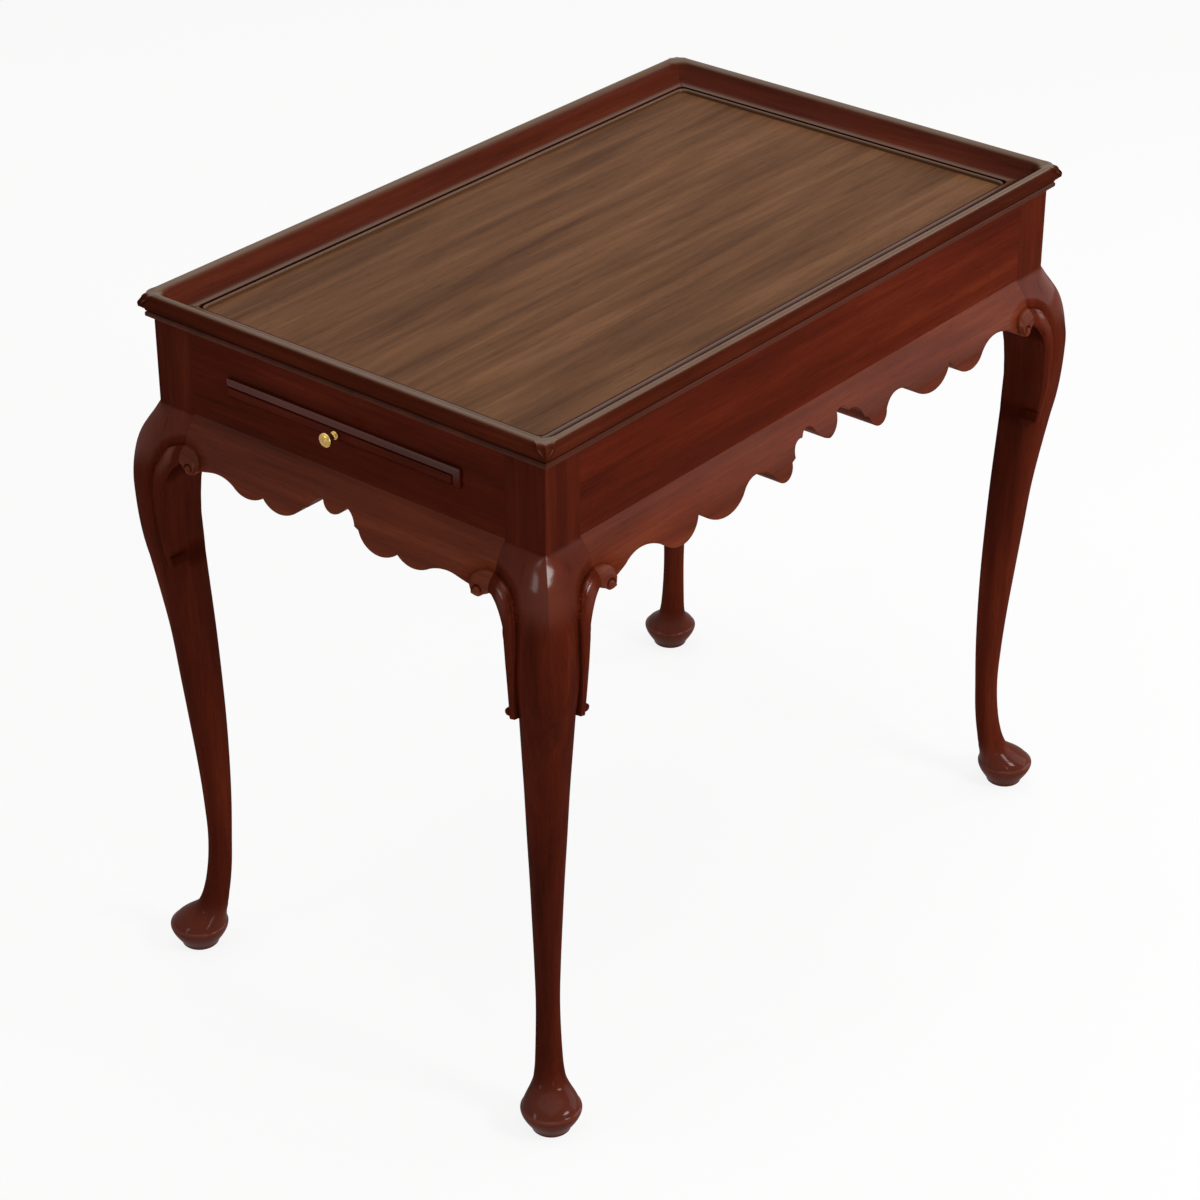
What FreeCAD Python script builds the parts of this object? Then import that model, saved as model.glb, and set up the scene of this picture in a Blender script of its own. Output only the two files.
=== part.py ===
import FreeCAD, Part
import math
import os

V = FreeCAD.Vector

# Overall sizes, in millimetres
frame_length = 731.0  # over the end aprons, along X
frame_width = 442.0  # over the long aprons, along Y
table_height = 686.0  # floor to the top of the tray's rim

# Tray
rim_height = 21.0  # moulding, from the panel up
rim_width = 29.7  # from the apron's face in to the foot of the moulding
lip_reach = 8.6  # rim beyond the apron's face
nose_radius = 4.3  # rounding of the rim
lip_corner = 20.0  # rounding of the rim at the corners, in plan
hollow_depth = 0.25  # outer hollow's middle, as a share of its reach
cove_depth = 0.27  # cove's middle, as a share of its rise
quirk_reach = 0.6  # foot of the outer hollow beyond the apron's face
quirk_height = 1.6
bead_height = 4.5  # drop from the cove to the panel
bead_width = 2.1
panel_edge = 5.0  # panel's edge, seen under the moulding
panel_thickness = 11.0  # panel between the aprons
panel_overhang = 5.4

# Aprons, posts and their joints
apron_height = 78.0
apron_thickness = 30.0
post_size = 43.0
tenon_thickness = 10.0
tenon_length = 22.0
tenon_shoulder = 10.0  # above, below and in front of the tenon
joint_clearance = 0.15
joint_relief = 1.0  # mortises and grooves deeper than what goes in
arris = 0.8  # eased edge of a square post

# Knee, scroll and skirt, measured down from the aprons' lower edge
knee_swell = 27.4  # knee's fullest point beyond the apron's face
knee_drop = 79.0
knee_round = 25.0  # rounding of the knee's outer corner at its fullest
scroll_drop = 152.0  # foot of the C-scroll
scroll_swell = 20.6  # leg's face beyond the apron's face at the scroll's foot
scroll_round = 22.5  # rounding of the outer corner there
scroll_width = 13.0  # band of the scroll beside the knee's fullest point
scroll_foot = 6.0  # band at its foot
scroll_relief = 1.6  # band above the knee's face
roll_radius = 3.4  # bevelled block that ends the band, for its roll
roll_length = 17.0
volute_in = 54.2  # middle of the curl, in from the apron's corner
volute_drop = 36.1
volute_radius = 10.8
arch_in = 23.5  # leg's inner face under the arch, in from the corner
arch_drop = 41.0  # where the arch springs from the skirt
curl_meet = 0.82  # last scallop's end beyond the curl's middle, as a share of its radius
curl_under = 62.0  # degrees below level where that end turns into the curl
skirt_depth = 48.0  # deepest lobe

# Shank and foot, measured up from the floor
ankle_height = 118.0
ankle_front = -7.0  # outer faces at the ankle, out from the apron's faces
ankle_back = 28.5  # inner faces, in from the apron's faces
ankle_round = 9.5
inner_round = 6.5  # inner corner at the scroll's foot
shank_bow = 3.3  # inner faces hollowed between the ankle and the scroll's foot
shank_sweep = 1.5  # how late the outer faces swing out
side_round = 0.88  # rounding of the side corners, as a share of the room beside the outer one
pad_radius = 27.3
pad_base = 16.9
pad_height = 25.0
pad_fullest = 21.5
pad_rim = 26.4
foot_round = 0.97  # rounding of the foot's section, as a share of its half width
knee_strips = 7  # flat strips that the curved legs are ruled in
below_strips = 2
shank_strips = 4

# Candle slides
slide_margin = 94.0  # slide's edges in from the long aprons' faces
slide_thickness = 9.0
slide_rise = 40.3  # middle of the slide above the apron's lower edge
slide_pull = 180.0  # how far a slide comes out
slide_tail = 36.0  # board behind the face of its stop
slide_gap = 0.4  # running clearance all round
stop_height = 14.0
stop_depth = 16.0
front_lap = 5.5  # front beyond the slide's edges
front_height = 18.0
front_edge = 2.5
front_bevel = 4.0
front_field = 1.3
bevel_width = 4.4
field_step = 0.8
groove_into_front = 1.6  # board let into the back of its front

# Brass knob
knob_length = 16.0
knob_radius = 5.6
knob_head = 5.5  # thickness of the button
knob_neck = 2.6

# Inside the frame
runner_width = 22.0
runner_height = 30.0
runner_groove = 8.0
bearer_width = 44.0
bearer_height = 20.0
block_gap = 1.6  # between a corner block and the runner beside it
block_height = 40.0
button_width = 30.0
button_depth = 28.0
button_height = 12.0
button_tongue = 6.0
button_spread = 200.0  # outer buttons from the middle one

# Heights that follow
panel_top = table_height - rim_height
apron_top = panel_top - panel_edge
apron_bottom = apron_top - apron_height
panel_bottom = panel_top - panel_thickness
knee_z = apron_bottom - knee_drop
scroll_z = apron_bottom - scroll_drop
arch_z = apron_bottom - arch_drop
volute_z = apron_bottom - volute_drop
slide_z = apron_bottom + slide_rise
half_length = frame_length / 2
half_width = frame_width / 2
curl_in = volute_in + curl_meet * volute_radius  # where a skirt's last scallop meets the curl
slide_width = frame_width - 2 * slide_margin
front_width = slide_width + 2 * front_lap
runner_inner = slide_width / 2 + slide_gap - runner_groove
block_leg = half_width - apron_thickness - runner_inner - runner_width - block_gap

# Arch under the knee, from the skirt down: crown, turn and waist as shares of its span and rise
ARCH = ((0.53, 0.08), (0.90, 0.21), (1.04, 0.55))

# Band of the scroll, as shares of the way from its foot to beside the knee, and on to the curl
BAND_RISE = (0.7, 0.55)
BAND_TURN = (0.28, 0.72)
BAND_SHOULDER = 0.1  # where it stands beside the knee, above the fullest point
CURL_SIDE = 0.6  # curl's inner side between its lowest point and the arch's spring

# Pad, from the floor to its fullest: share of the height, and of the spread
PAD = ((0.0, 0.0), (0.33, 0.33), (0.66, 0.67), (1.0, 1.0))

# Instep, from the pad up: share of the way to the ankle, of the ankle's set-back, and of the flare
INSTEP = (
    (0.00, 0.00, 1.00),
    (0.08, 0.15, 0.79),
    (0.125, 0.30, 0.57),
    (0.17, 0.47, 0.35),
    (0.25, 0.62, 0.18),
    (0.45, 0.82, 0.06),
)

# Scallops from the middle of a skirt out to the curl, as shares of the way and of the skirt's
# depth: first the middle lobe's tip and cusp, then an arc for two points and a line for one
END_LOBE = ((0.0, 0.638), (0.086, 0.448))
END_SCALLOPS = (
    ((0.136, 0.531), (0.169, 0.688)),
    ((0.200, 0.721),),
    ((0.342, 1.0), (0.491, 0.854)),
    ((0.602, 0.969), (0.715, 0.865)),
    ((0.842, 0.771), (0.924, 0.813)),
    ((1.0, 0.881),),
)
LONG_LOBE = ((0.0, 0.688), (0.061, 0.365))
LONG_SCALLOPS = (
    ((0.126, 0.406), (0.172, 0.688)),
    ((0.189, 0.719),),
    ((0.231, 0.971), (0.278, 0.771)),
    ((0.341, 0.567), (0.417, 0.729)),
    ((0.522, 0.938), (0.620, 0.625)),
    ((0.708, 0.967), (0.787, 0.792)),
    ((0.880, 0.613), (0.946, 0.719)),
    ((1.0, 0.881),),
)


def line(first, last):
    return Part.LineSegment(first, last).toShape()


def arc(first, middle, last):
    return Part.Arc(first, middle, last).toShape()


def ruled(sections):
    """Solid with straight strips from each section to the next."""
    return Part.makeLoft(sections, True, True)


def outline(points):
    return Part.makePolygon(list(points) + [points[0]])


def prism(wire, direction):
    return Part.Face(wire).extrude(direction)


def box(x, y, z):
    """Box between the two values of each pair."""
    corner = V(min(x), min(y), min(z))
    return Part.makeBox(abs(x[1] - x[0]), abs(y[1] - y[0]), abs(z[1] - z[0]), corner)


def turned(shape, quarter_turns):
    return shape.rotated(V(0, 0, 0), V(0, 0, 1), 90 * quarter_turns)


def across_diagonal(shape):
    """The same feature on the leg's other face."""
    return shape.mirror(V(0, 0, 0), V(1, -1, 0))


def knee_line(z):
    """Face of the knee and skirt beyond the apron's face: an arc each way from the fullest point."""
    if z >= knee_z:
        drop = knee_swell
        height = knee_drop
    else:
        drop = knee_swell - scroll_swell
        height = scroll_drop - knee_drop
    radius = (height ** 2 + drop ** 2) / (2 * drop)
    return knee_swell - radius + math.sqrt(radius ** 2 - (z - knee_z) ** 2)


def knee_arc(high, low, offset, x_axis):
    """The knee's face between two heights as an arc, outwards along X or Y, raised by the offset."""
    points = []
    for z in (high, 0.5 * (high + low), low):
        out = knee_line(z) + offset
        points.append(V(out, 0, z) if x_axis else V(0, out, z))
    return arc(*points)


def knee_rounding(z):
    """Rounding of the outer corner: the post's arris opens steadily to the knee."""
    if z >= knee_z:
        return knee_round + (arris - knee_round) * (z - knee_z) / knee_drop
    return knee_round + (scroll_round - knee_round) * (knee_z - z) / (scroll_drop - knee_drop)


def rounded_square(z, low, high, r_high, r_side, r_low):
    """Square from low to high both ways, each corner with its own rounding, or sharp for none."""
    inset = 1 - math.sqrt(0.5)
    corners = ((high, high, r_high), (low, high, r_side), (low, low, r_low), (high, low, r_side))
    turns = []
    for number, (x, y, r) in enumerate(corners):
        to_x = r if x == low else -r
        to_y = r if y == low else -r
        ends = [V(x, y + to_y, z), V(x + to_x, y, z)]
        if number % 2:
            ends.reverse()
        turns.append((r, ends[0], V(x + inset * to_x, y + inset * to_y, z), ends[1]))
    edges = []
    for number, (r, first, middle, last) in enumerate(turns):
        if r > 0:
            edges.append(arc(first, middle, last))
        edges.append(line(last, turns[(number + 1) % len(turns)][1]))
    return Part.Wire(edges)


def knee_block():
    """Knee and post as the blank is shaped: swelling faces, with the outer corner rounded over."""
    heights = [apron_bottom - knee_drop * step / knee_strips for step in range(knee_strips + 1)]
    for step in range(below_strips):
        heights.append(knee_z - (knee_z - scroll_z) * (step + 1) / below_strips)
    sections = [rounded_square(z, -post_size, knee_line(z), knee_rounding(z), 0, 0) for z in heights]
    post = prism(sections[0], V(0, 0, apron_height))
    return ruled(sections), post


def arch_waste():
    """What the saw takes from under the arch, seen on one face of the leg."""
    span = post_size - arch_in
    rise = arch_z - scroll_z
    far = -2 * post_size
    spring = V(0, -post_size, arch_z)
    crown, turn, waist = [V(0, across * span - post_size, arch_z - down * rise) for across, down in ARCH]
    foot = V(0, -arch_in, scroll_z)
    curve = [arc(spring, crown, turn), arc(turn, waist, foot)]
    rest = Part.makePolygon([foot, V(0, far, scroll_z), V(0, far, arch_z), spring])
    waste = prism(Part.Wire(curve + rest.Edges), V(4 * post_size, 0, 0))
    return waste.translated(V(-2 * post_size, 0, 0))


def raised_face(length):
    """Space behind the scroll's raised surface on a face that looks along X, over a length of Y."""
    upper = knee_arc(apron_bottom, knee_z, scroll_relief, True)
    lower = knee_arc(knee_z, scroll_z, scroll_relief, True)
    back = -post_size / 2
    rest = Part.makePolygon([
        V(scroll_swell + scroll_relief, 0, scroll_z),
        V(back, 0, scroll_z),
        V(back, 0, apron_bottom),
        V(scroll_relief, 0, apron_bottom),
    ])
    return prism(Part.Wire([upper, lower] + rest.Edges), V(0, -length, 0))


def scroll_band():
    """The C-scroll's band on the leg: from its foot up the side of the knee, over towards the curl."""
    top = volute_z + volute_radius
    beside = knee_z + BAND_SHOULDER * knee_drop
    foot = V(0, scroll_foot - arch_in, scroll_z)
    side = V(0, scroll_width - arch_in, beside)
    over = V(0, -post_size, top)
    widened, risen = BAND_RISE
    middle = V(0, widened * scroll_width - arch_in, scroll_z + risen * (beside - scroll_z))
    across, up = BAND_TURN
    shoulder = V(0, side.y + across * (over.y - side.y), side.z + up * (over.z - side.z))
    edges = [arc(foot, middle, side), arc(side, shoulder, over)]
    edges += Part.makePolygon([over, V(0, -post_size, scroll_z), foot]).Edges
    band = prism(Part.Wire(edges), V(4 * post_size, 0, 0))
    band = band.translated(V(-2 * post_size, 0, 0)).common(raised_face(post_size))
    roll_start = scroll_swell + scroll_relief - roll_length
    roll_z = scroll_z + roll_radius + joint_clearance
    inwards = V(0, -scroll_foot, 0)
    below = V(0, -arch_in, roll_z - roll_radius)
    above = V(0, -arch_in, roll_z + roll_radius)
    nose = V(0, -arch_in - roll_radius, roll_z)
    roll = prism(outline([below, nose, above, above - inwards, below - inwards]), V(roll_length, 0, 0))
    return band, roll.translated(V(roll_start, 0, 0))


def shank():
    """Rounded shank from the ankle up to the scroll's foot."""
    sections = []
    for step in range(shank_strips + 1):
        share = step / shank_strips
        swing = share ** shank_sweep
        z = ankle_height + share * (scroll_z - ankle_height)
        outer = ankle_front + swing * (scroll_swell - ankle_front)
        inner = ankle_back + share * (arch_in - ankle_back) + 4 * shank_bow * share * (1 - share)
        r_outer = ankle_round + share * (scroll_round - ankle_round)
        r_side = side_round * (outer + inner - r_outer)
        r_inner = ankle_round + share * (inner_round - ankle_round)
        sections.append(rounded_square(z, -inner, outer, r_outer, r_side, r_inner))
    return ruled(sections), sections[0]


def round_section(z, middle, radius):
    """Section of the foot, which is round but for four short flats that carry on those of the shank."""
    rounding = foot_round * radius
    return rounded_square(z, middle - radius, middle + radius, rounding, rounding, rounding)


def foot(ankle):
    """Pad foot under the apron's corner, and the instep from it back and up to the ankle's section."""
    set_back = 0.5 * (ankle_front - ankle_back)
    ankle_radius = 0.5 * (ankle_front + ankle_back)
    sections = []
    for up, out in PAD:
        sections.append(round_section(up * pad_fullest, 0, pad_base + out * (pad_radius - pad_base)))
    for share, back, flare in INSTEP:
        z = pad_height + share * (ankle_height - pad_height)
        radius = ankle_radius + flare * (pad_rim - ankle_radius)
        sections.append(round_section(z, back * set_back, radius))
    return ruled(sections + [ankle])


def mortise():
    gap = joint_clearance
    x = (-tenon_shoulder - tenon_thickness - gap, -tenon_shoulder + gap)
    y = (-post_size - joint_relief, -post_size + tenon_length + joint_relief)
    z = (apron_bottom + tenon_shoulder - gap, apron_top - tenon_shoulder + gap)
    return box(x, y, z)


def leg():
    """One leg with the apron's corner at the origin and the table towards -X and -Y."""
    knee, post = knee_block()
    band, roll = scroll_band()
    waste = arch_waste()
    knee = knee.fuse([band, across_diagonal(band)])
    knee = knee.cut([waste, across_diagonal(waste)])
    stem, ankle = shank()
    body = knee.fuse([post, stem, foot(ankle), roll, across_diagonal(roll)])
    body = body.cut([mortise(), across_diagonal(mortise())])
    return body.removeSplitter()


def apron(half, slotted):
    """Apron that looks along Y, with its face at zero and its middle at the origin."""
    shoulder = half - post_size
    body = box((-shoulder, shoulder), (-apron_thickness, 0), (apron_bottom, apron_top))
    tenon_y = (-tenon_shoulder - tenon_thickness, -tenon_shoulder)
    tenon_z = (apron_bottom + tenon_shoulder, apron_top - tenon_shoulder)
    reach = shoulder + tenon_length
    body = body.fuse(box((-reach, reach), tenon_y, tenon_z))
    if slotted:
        slot_x = slide_width / 2 + slide_gap
        slot_z = slide_thickness / 2 + slide_gap
        slot = (slide_z - slot_z, slide_z + slot_z)
        body = body.cut(box((-slot_x, slot_x), (-apron_thickness, 0), slot))
    else:
        low = panel_bottom - button_height
        groove_y = (-apron_thickness, -apron_thickness + button_tongue + joint_relief)
        groove_z = (low - joint_clearance, low + button_tongue + joint_clearance)
        body = body.cut(box((-shoulder, shoulder), groove_y, groove_z))
    return body.removeSplitter()


def scallop_edge(half, lobe, scallops):
    """Lower edge of a skirt from one leg to the other, as a list of edges in the plane of X and Z."""
    def place(share, depth):
        return V(share * (half - curl_in), 0, apron_bottom - depth * skirt_depth)

    def flip(edge):
        return edge.mirror(V(0, 0, 0), V(1, 0, 0))

    tip, cusp = lobe
    at = place(*cusp)
    middle = arc(V(-at.x, 0, at.z), place(*tip), at)
    right = []
    for stretch in scallops:
        points = [at] + [place(*share) for share in stretch]
        right.append(arc(*points) if len(points) == 3 else line(*points))
        at = points[-1]
    low = V(half - volute_in, 0, volute_z - volute_radius)
    under = math.radians(curl_under)
    beside = V(low.x - volute_radius * math.cos(under), 0, volute_z - volute_radius * math.sin(under))
    spring = V(half - post_size, 0, arch_z)
    inner = V(0.5 * (low.x + spring.x), 0, CURL_SIDE * low.z + (1 - CURL_SIDE) * spring.z)
    right += [arc(at, beside, low), arc(low, inner, spring)]
    return [middle] + right + [flip(edge) for edge in right]


def curl_relief(half, side):
    """Raised curl of the C-scroll at one end of a skirt."""
    top = volute_z + volute_radius
    low = volute_z - volute_radius

    def at(inwards, z):
        return V(side * (half - inwards), 0, z)

    crown = line(at(post_size, top), at(volute_in, top))
    rim = arc(at(volute_in, top), at(volute_in + volute_radius, volute_z), at(volute_in, low))
    rest = Part.makePolygon([at(volute_in, low), at(post_size, low), at(post_size, top)])
    region = prism(Part.Wire([crown, rim] + rest.Edges), V(0, 4 * post_size, 0))
    face = turned(raised_face(2 * half), 1).translated(V(half, 0, 0))
    return region.translated(V(0, -post_size, 0)).common(face)


def skirt(half, lobe, scallops):
    """Flared skirt that looks along Y, sawn to its scallops, with the apron's face at zero."""
    reach = half - post_size
    deep = apron_bottom - 1.1 * skirt_depth
    face = knee_arc(apron_bottom, deep, 0, False)
    rest = Part.makePolygon([
        V(0, knee_line(deep), deep),
        V(0, -apron_thickness, deep),
        V(0, -apron_thickness, apron_bottom),
        V(0, 0, apron_bottom),
    ])
    blank = prism(Part.Wire([face] + rest.Edges), V(2 * reach, 0, 0)).translated(V(-reach, 0, 0))
    blank = blank.fuse([curl_relief(half, side) for side in (-1, 1)])
    above = apron_bottom + arris
    ends = Part.makePolygon([
        V(reach, 0, arch_z), V(reach, 0, above), V(-reach, 0, above), V(-reach, 0, arch_z)])
    edges = Part.__sortEdges__(scallop_edge(half, lobe, scallops) + ends.Edges)
    sawn = prism(Part.Wire(edges), V(0, 4 * post_size, 0)).translated(V(0, -2 * post_size, 0))
    return blank.common(sawn).removeSplitter()


def rim_section():
    """Section of the tray moulding: along Y outwards from the apron's face, along Z upwards."""
    nose_y = lip_reach - nose_radius
    nose_z = rim_height - nose_radius
    slant = nose_radius * math.sqrt(0.5)
    under = V(0, nose_y + slant, nose_z - slant)
    out = V(0, lip_reach, nose_z)
    crest = V(0, nose_y - slant, nose_z + slant)
    foot = V(0, quirk_reach, quirk_height)
    hollow = V(0, quirk_reach + hollow_depth * (under.y - foot.y), 0.5 * (under.z + foot.z))
    cove_foot = V(0, bead_width - rim_width, bead_height)
    cove_z = cove_foot.z + cove_depth * (crest.z - cove_foot.z)
    cove = V(0, 0.5 * (crest.y + cove_foot.y), cove_z)
    bead = V(0, -rim_width, bead_height - bead_width)
    bead_side = bead_width * (1 - math.sqrt(0.5))
    bead_middle = V(0, bead_side - rim_width, bead_height - bead_side)
    edges = [
        line(V(0, quirk_reach, 0), foot),
        arc(foot, hollow, under),
        arc(under, out, crest),
        arc(crest, cove, cove_foot),
        arc(cove_foot, bead_middle, bead),
        line(bead, V(0, -rim_width, 0)),
        line(V(0, -rim_width, 0), V(0, quirk_reach, 0)),
    ]
    return Part.Wire(edges)


def rim_plan(along, across):
    """Rounded plan of the rim, as a prism."""
    x = along + lip_reach
    y = across + lip_reach
    body = box((-x, x), (-y, y), (panel_top, table_height))
    upright = [edge for edge in body.Edges if abs(edge.tangentAt(edge.FirstParameter).z) > 0.5]
    return body.makeFillet(lip_corner, upright)


def moulding(along, across):
    """Mitred length of tray moulding that looks along Y."""
    reach = along + lip_reach
    length = prism(rim_section(), V(2 * reach, 0, 0)).translated(V(-reach, across, panel_top))
    out = lip_reach
    mitre = outline([
        V(along + out, across + out, panel_top),
        V(-along - out, across + out, panel_top),
        V(rim_width - along, across - rim_width, panel_top),
        V(along - rim_width, across - rim_width, panel_top)])
    return length.common(prism(mitre, V(0, 0, rim_height))).common(rim_plan(along, across))


def top_panel():
    x = half_length + panel_overhang
    y = half_width + panel_overhang
    board = box((-x, x), (-y, y), (apron_top, panel_top))
    field_x = half_length - post_size - joint_clearance
    field_y = half_width - apron_thickness - joint_clearance
    field = box((-field_x, field_x), (-field_y, field_y), (panel_bottom, apron_top))
    return board.fuse(field).removeSplitter()


def slide_front():
    """Moulded front, built along +X from the apron's face, with a groove in its back for the board."""
    def plate(x, width, height):
        corners = ((-1, -1), (1, -1), (1, 1), (-1, 1))
        return outline([V(x, sy * width / 2, slide_z + sz * height / 2) for sy, sz in corners])

    inner_width = front_width - 2 * bevel_width
    inner_height = front_height - 2 * bevel_width
    bevel_top = front_edge + front_bevel
    edge = prism(plate(0, front_width, front_height), V(front_edge, 0, 0))
    outer = plate(front_edge, front_width, front_height)
    bevel = ruled([outer, plate(bevel_top, inner_width, inner_height)])
    step = 2 * field_step
    field = prism(plate(bevel_top, inner_width - step, inner_height - step), V(front_field, 0, 0))
    groove = prism(plate(0, slide_width, slide_thickness), V(groove_into_front, 0, 0))
    return edge.fuse([bevel, field]).cut(groove).removeSplitter()


def knob():
    """Turned knob along +X, a button head on a neck."""
    head = knob_length - knob_head
    profile = outline([
        V(0, 0, 0),
        V(0, 0, knob_neck),
        V(head, 0, knob_neck),
        V(head, 0, knob_radius),
        V(knob_length, 0, knob_radius),
        V(knob_length, 0, 0),
    ])
    return Part.Face(profile).revolve(V(0, 0, 0), V(1, 0, 0), 360)


def slide_parts():
    """The slide at the +X end, pushed home."""
    face = half_length + slide_gap
    inside = half_length - apron_thickness
    stop_face = inside - slide_pull - slide_gap
    tail = stop_face - slide_tail
    y = (-slide_width / 2, slide_width / 2)
    z = (slide_z - slide_thickness / 2, slide_z + slide_thickness / 2)
    knob_face = V(face + front_edge + front_bevel + front_field, 0, slide_z)
    stop_y = slide_width / 2 - 2 * runner_groove
    stop = box((stop_face - stop_depth, stop_face), (-stop_y, stop_y), (z[1], z[1] + stop_height))
    return {
        "slide_board": box((tail, face + groove_into_front), y, z),
        "slide_front": slide_front().translated(V(face, 0, 0)),
        "slide_stop": stop,
        "slide_knob": knob().translated(knob_face),
    }


def runner():
    """Grooved runner on the +Y side, from one end apron to the other."""
    x = half_length - apron_thickness
    groove_bottom = runner_inner + runner_groove
    z = (slide_z - runner_height / 2, slide_z + runner_height / 2)
    body = box((-x, x), (runner_inner, runner_inner + runner_width), z)
    tall = slide_thickness / 2 + slide_gap
    return body.cut(box((-x, x), (runner_inner, groove_bottom), (slide_z - tall, slide_z + tall)))


def bearer():
    top = slide_z - runner_height / 2
    y = half_width - apron_thickness
    return box((-bearer_width / 2, bearer_width / 2), (-y, y), (top - bearer_height, top))


def corner_block():
    """Glue block in the +X +Y corner, notched round the post."""
    x = half_length - apron_thickness
    y = half_width - apron_thickness
    notch = post_size - apron_thickness
    plan = outline([
        V(x, y - block_leg, 0), V(x, y - notch, 0), V(x - notch, y - notch, 0),
        V(x - notch, y, 0), V(x - block_leg, y, 0)])
    middle = 0.5 * (apron_top + apron_bottom)
    return prism(plan, V(0, 0, block_height)).translated(V(0, 0, middle - block_height / 2))


def button():
    """Button under the panel by the +Y apron: a block with a tongue in the apron's groove."""
    face = half_width - apron_thickness
    low = panel_bottom - button_height
    x = (-button_width / 2, button_width / 2)
    block = box(x, (face - button_depth, face - joint_clearance), (low, panel_bottom))
    tongue = box(x, (face - button_depth, face + button_tongue), (low, low + button_tongue))
    return block.fuse(tongue).removeSplitter()


def build():
    """All pieces by name. Front looks along -Y, left along -X."""
    pieces = {"top_panel": top_panel()}
    ends = {"right": 1, "left": -1}
    sides = {"back": 1, "front": -1}

    one_leg = leg().translated(V(half_length, half_width, 0))
    one_block = corner_block()
    for side, y_sign in sides.items():
        for end, x_sign in ends.items():
            corner = one_leg
            block = one_block
            if x_sign < 0:
                corner = corner.mirror(V(0, 0, 0), V(1, 0, 0))
                block = block.mirror(V(0, 0, 0), V(1, 0, 0))
            if y_sign < 0:
                corner = corner.mirror(V(0, 0, 0), V(0, 1, 0))
                block = block.mirror(V(0, 0, 0), V(0, 1, 0))
            pieces["leg_%s_%s" % (side, end)] = corner
            pieces["corner_block_%s_%s" % (side, end)] = block

    long_apron = apron(half_length, False).translated(V(0, half_width, 0))
    long_skirt = skirt(half_length, LONG_LOBE, LONG_SCALLOPS).translated(V(0, half_width, 0))
    long_moulding = moulding(half_length, half_width)
    one_runner = runner()
    one_button = button()
    for side, y_sign in sides.items():
        turns = 0 if y_sign > 0 else 2
        pieces["apron_" + side] = turned(long_apron, turns)
        pieces["skirt_" + side] = turned(long_skirt, turns)
        pieces["tray_moulding_" + side] = turned(long_moulding, turns)
        pieces["slide_runner_" + side] = turned(one_runner, turns)
        for place, step in (("left", -1), ("middle", 0), ("right", 1)):
            shape = turned(one_button, turns).translated(V(step * button_spread, 0, 0))
            pieces["top_button_%s_%s" % (side, place)] = shape

    end_apron = apron(half_width, True).translated(V(0, half_length, 0))
    end_skirt = skirt(half_width, END_LOBE, END_SCALLOPS).translated(V(0, half_length, 0))
    end_moulding = moulding(half_width, half_length)
    one_slide = slide_parts()
    for end, x_sign in ends.items():
        turns = -1 if x_sign > 0 else 1
        pieces["apron_" + end] = turned(end_apron, turns)
        pieces["skirt_" + end] = turned(end_skirt, turns)
        pieces["tray_moulding_" + end] = turned(end_moulding, turns)
        for name, shape in one_slide.items():
            pieces["%s_%s" % (name, end)] = turned(shape, 0 if x_sign > 0 else 2)

    pieces["slide_bearer"] = bearer()
    return pieces


os.makedirs("parts", exist_ok=True)
for name, shape in build().items():
    shape.exportStep("parts/%s.step" % name)
    state = "valid" if shape.isValid() else "NOT VALID"
    print("%-26s %9.1f cm3  solids %d  %s" % (name, shape.Volume / 1000, len(shape.Solids), state))
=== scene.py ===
# %% [markdown]
# # A tray top tea table
# The table is a mahogany frame on four cabriole legs, with a moulded tray on top and a candle slide in each
# end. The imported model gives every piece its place, so this lesson starts by loading it as a fixed frame in
# metres. Sizes are kept in millimetres below, as a cabinet maker would, and become metres only when a mesh
# is made.

# %% Load the frame
import math
import bmesh
import bpy
import numpy as np
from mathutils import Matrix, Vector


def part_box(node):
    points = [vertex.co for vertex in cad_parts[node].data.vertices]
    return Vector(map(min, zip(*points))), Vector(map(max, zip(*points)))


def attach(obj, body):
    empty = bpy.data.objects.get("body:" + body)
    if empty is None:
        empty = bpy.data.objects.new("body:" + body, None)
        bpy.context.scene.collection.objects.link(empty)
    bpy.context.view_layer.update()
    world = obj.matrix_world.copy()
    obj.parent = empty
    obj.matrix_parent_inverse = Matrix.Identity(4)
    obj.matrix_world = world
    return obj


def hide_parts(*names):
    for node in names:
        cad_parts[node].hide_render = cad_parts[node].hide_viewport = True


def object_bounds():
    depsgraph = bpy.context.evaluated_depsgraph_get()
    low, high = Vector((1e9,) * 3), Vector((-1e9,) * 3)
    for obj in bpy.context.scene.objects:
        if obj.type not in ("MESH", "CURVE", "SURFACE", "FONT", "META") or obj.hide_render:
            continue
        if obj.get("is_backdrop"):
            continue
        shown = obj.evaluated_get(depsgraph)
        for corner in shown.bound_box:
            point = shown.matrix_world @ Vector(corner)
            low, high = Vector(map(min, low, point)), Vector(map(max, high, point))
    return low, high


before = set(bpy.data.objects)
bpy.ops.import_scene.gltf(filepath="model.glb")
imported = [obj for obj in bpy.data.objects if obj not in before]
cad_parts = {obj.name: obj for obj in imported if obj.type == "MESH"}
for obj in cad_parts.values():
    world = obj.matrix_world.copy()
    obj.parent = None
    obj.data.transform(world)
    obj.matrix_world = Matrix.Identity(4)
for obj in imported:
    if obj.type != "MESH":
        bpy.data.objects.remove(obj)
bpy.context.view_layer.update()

MM = 0.001
HALF_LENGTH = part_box("apron_right")[1].x / MM
HALF_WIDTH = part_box("apron_back")[1].y / MM
APRON_LOW, APRON_TOP = (corner.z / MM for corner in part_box("apron_left"))
PANEL_TOP, RIM_TOP = (corner.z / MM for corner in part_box("tray_moulding_left"))
POST = HALF_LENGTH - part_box("skirt_front")[1].x / MM
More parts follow.
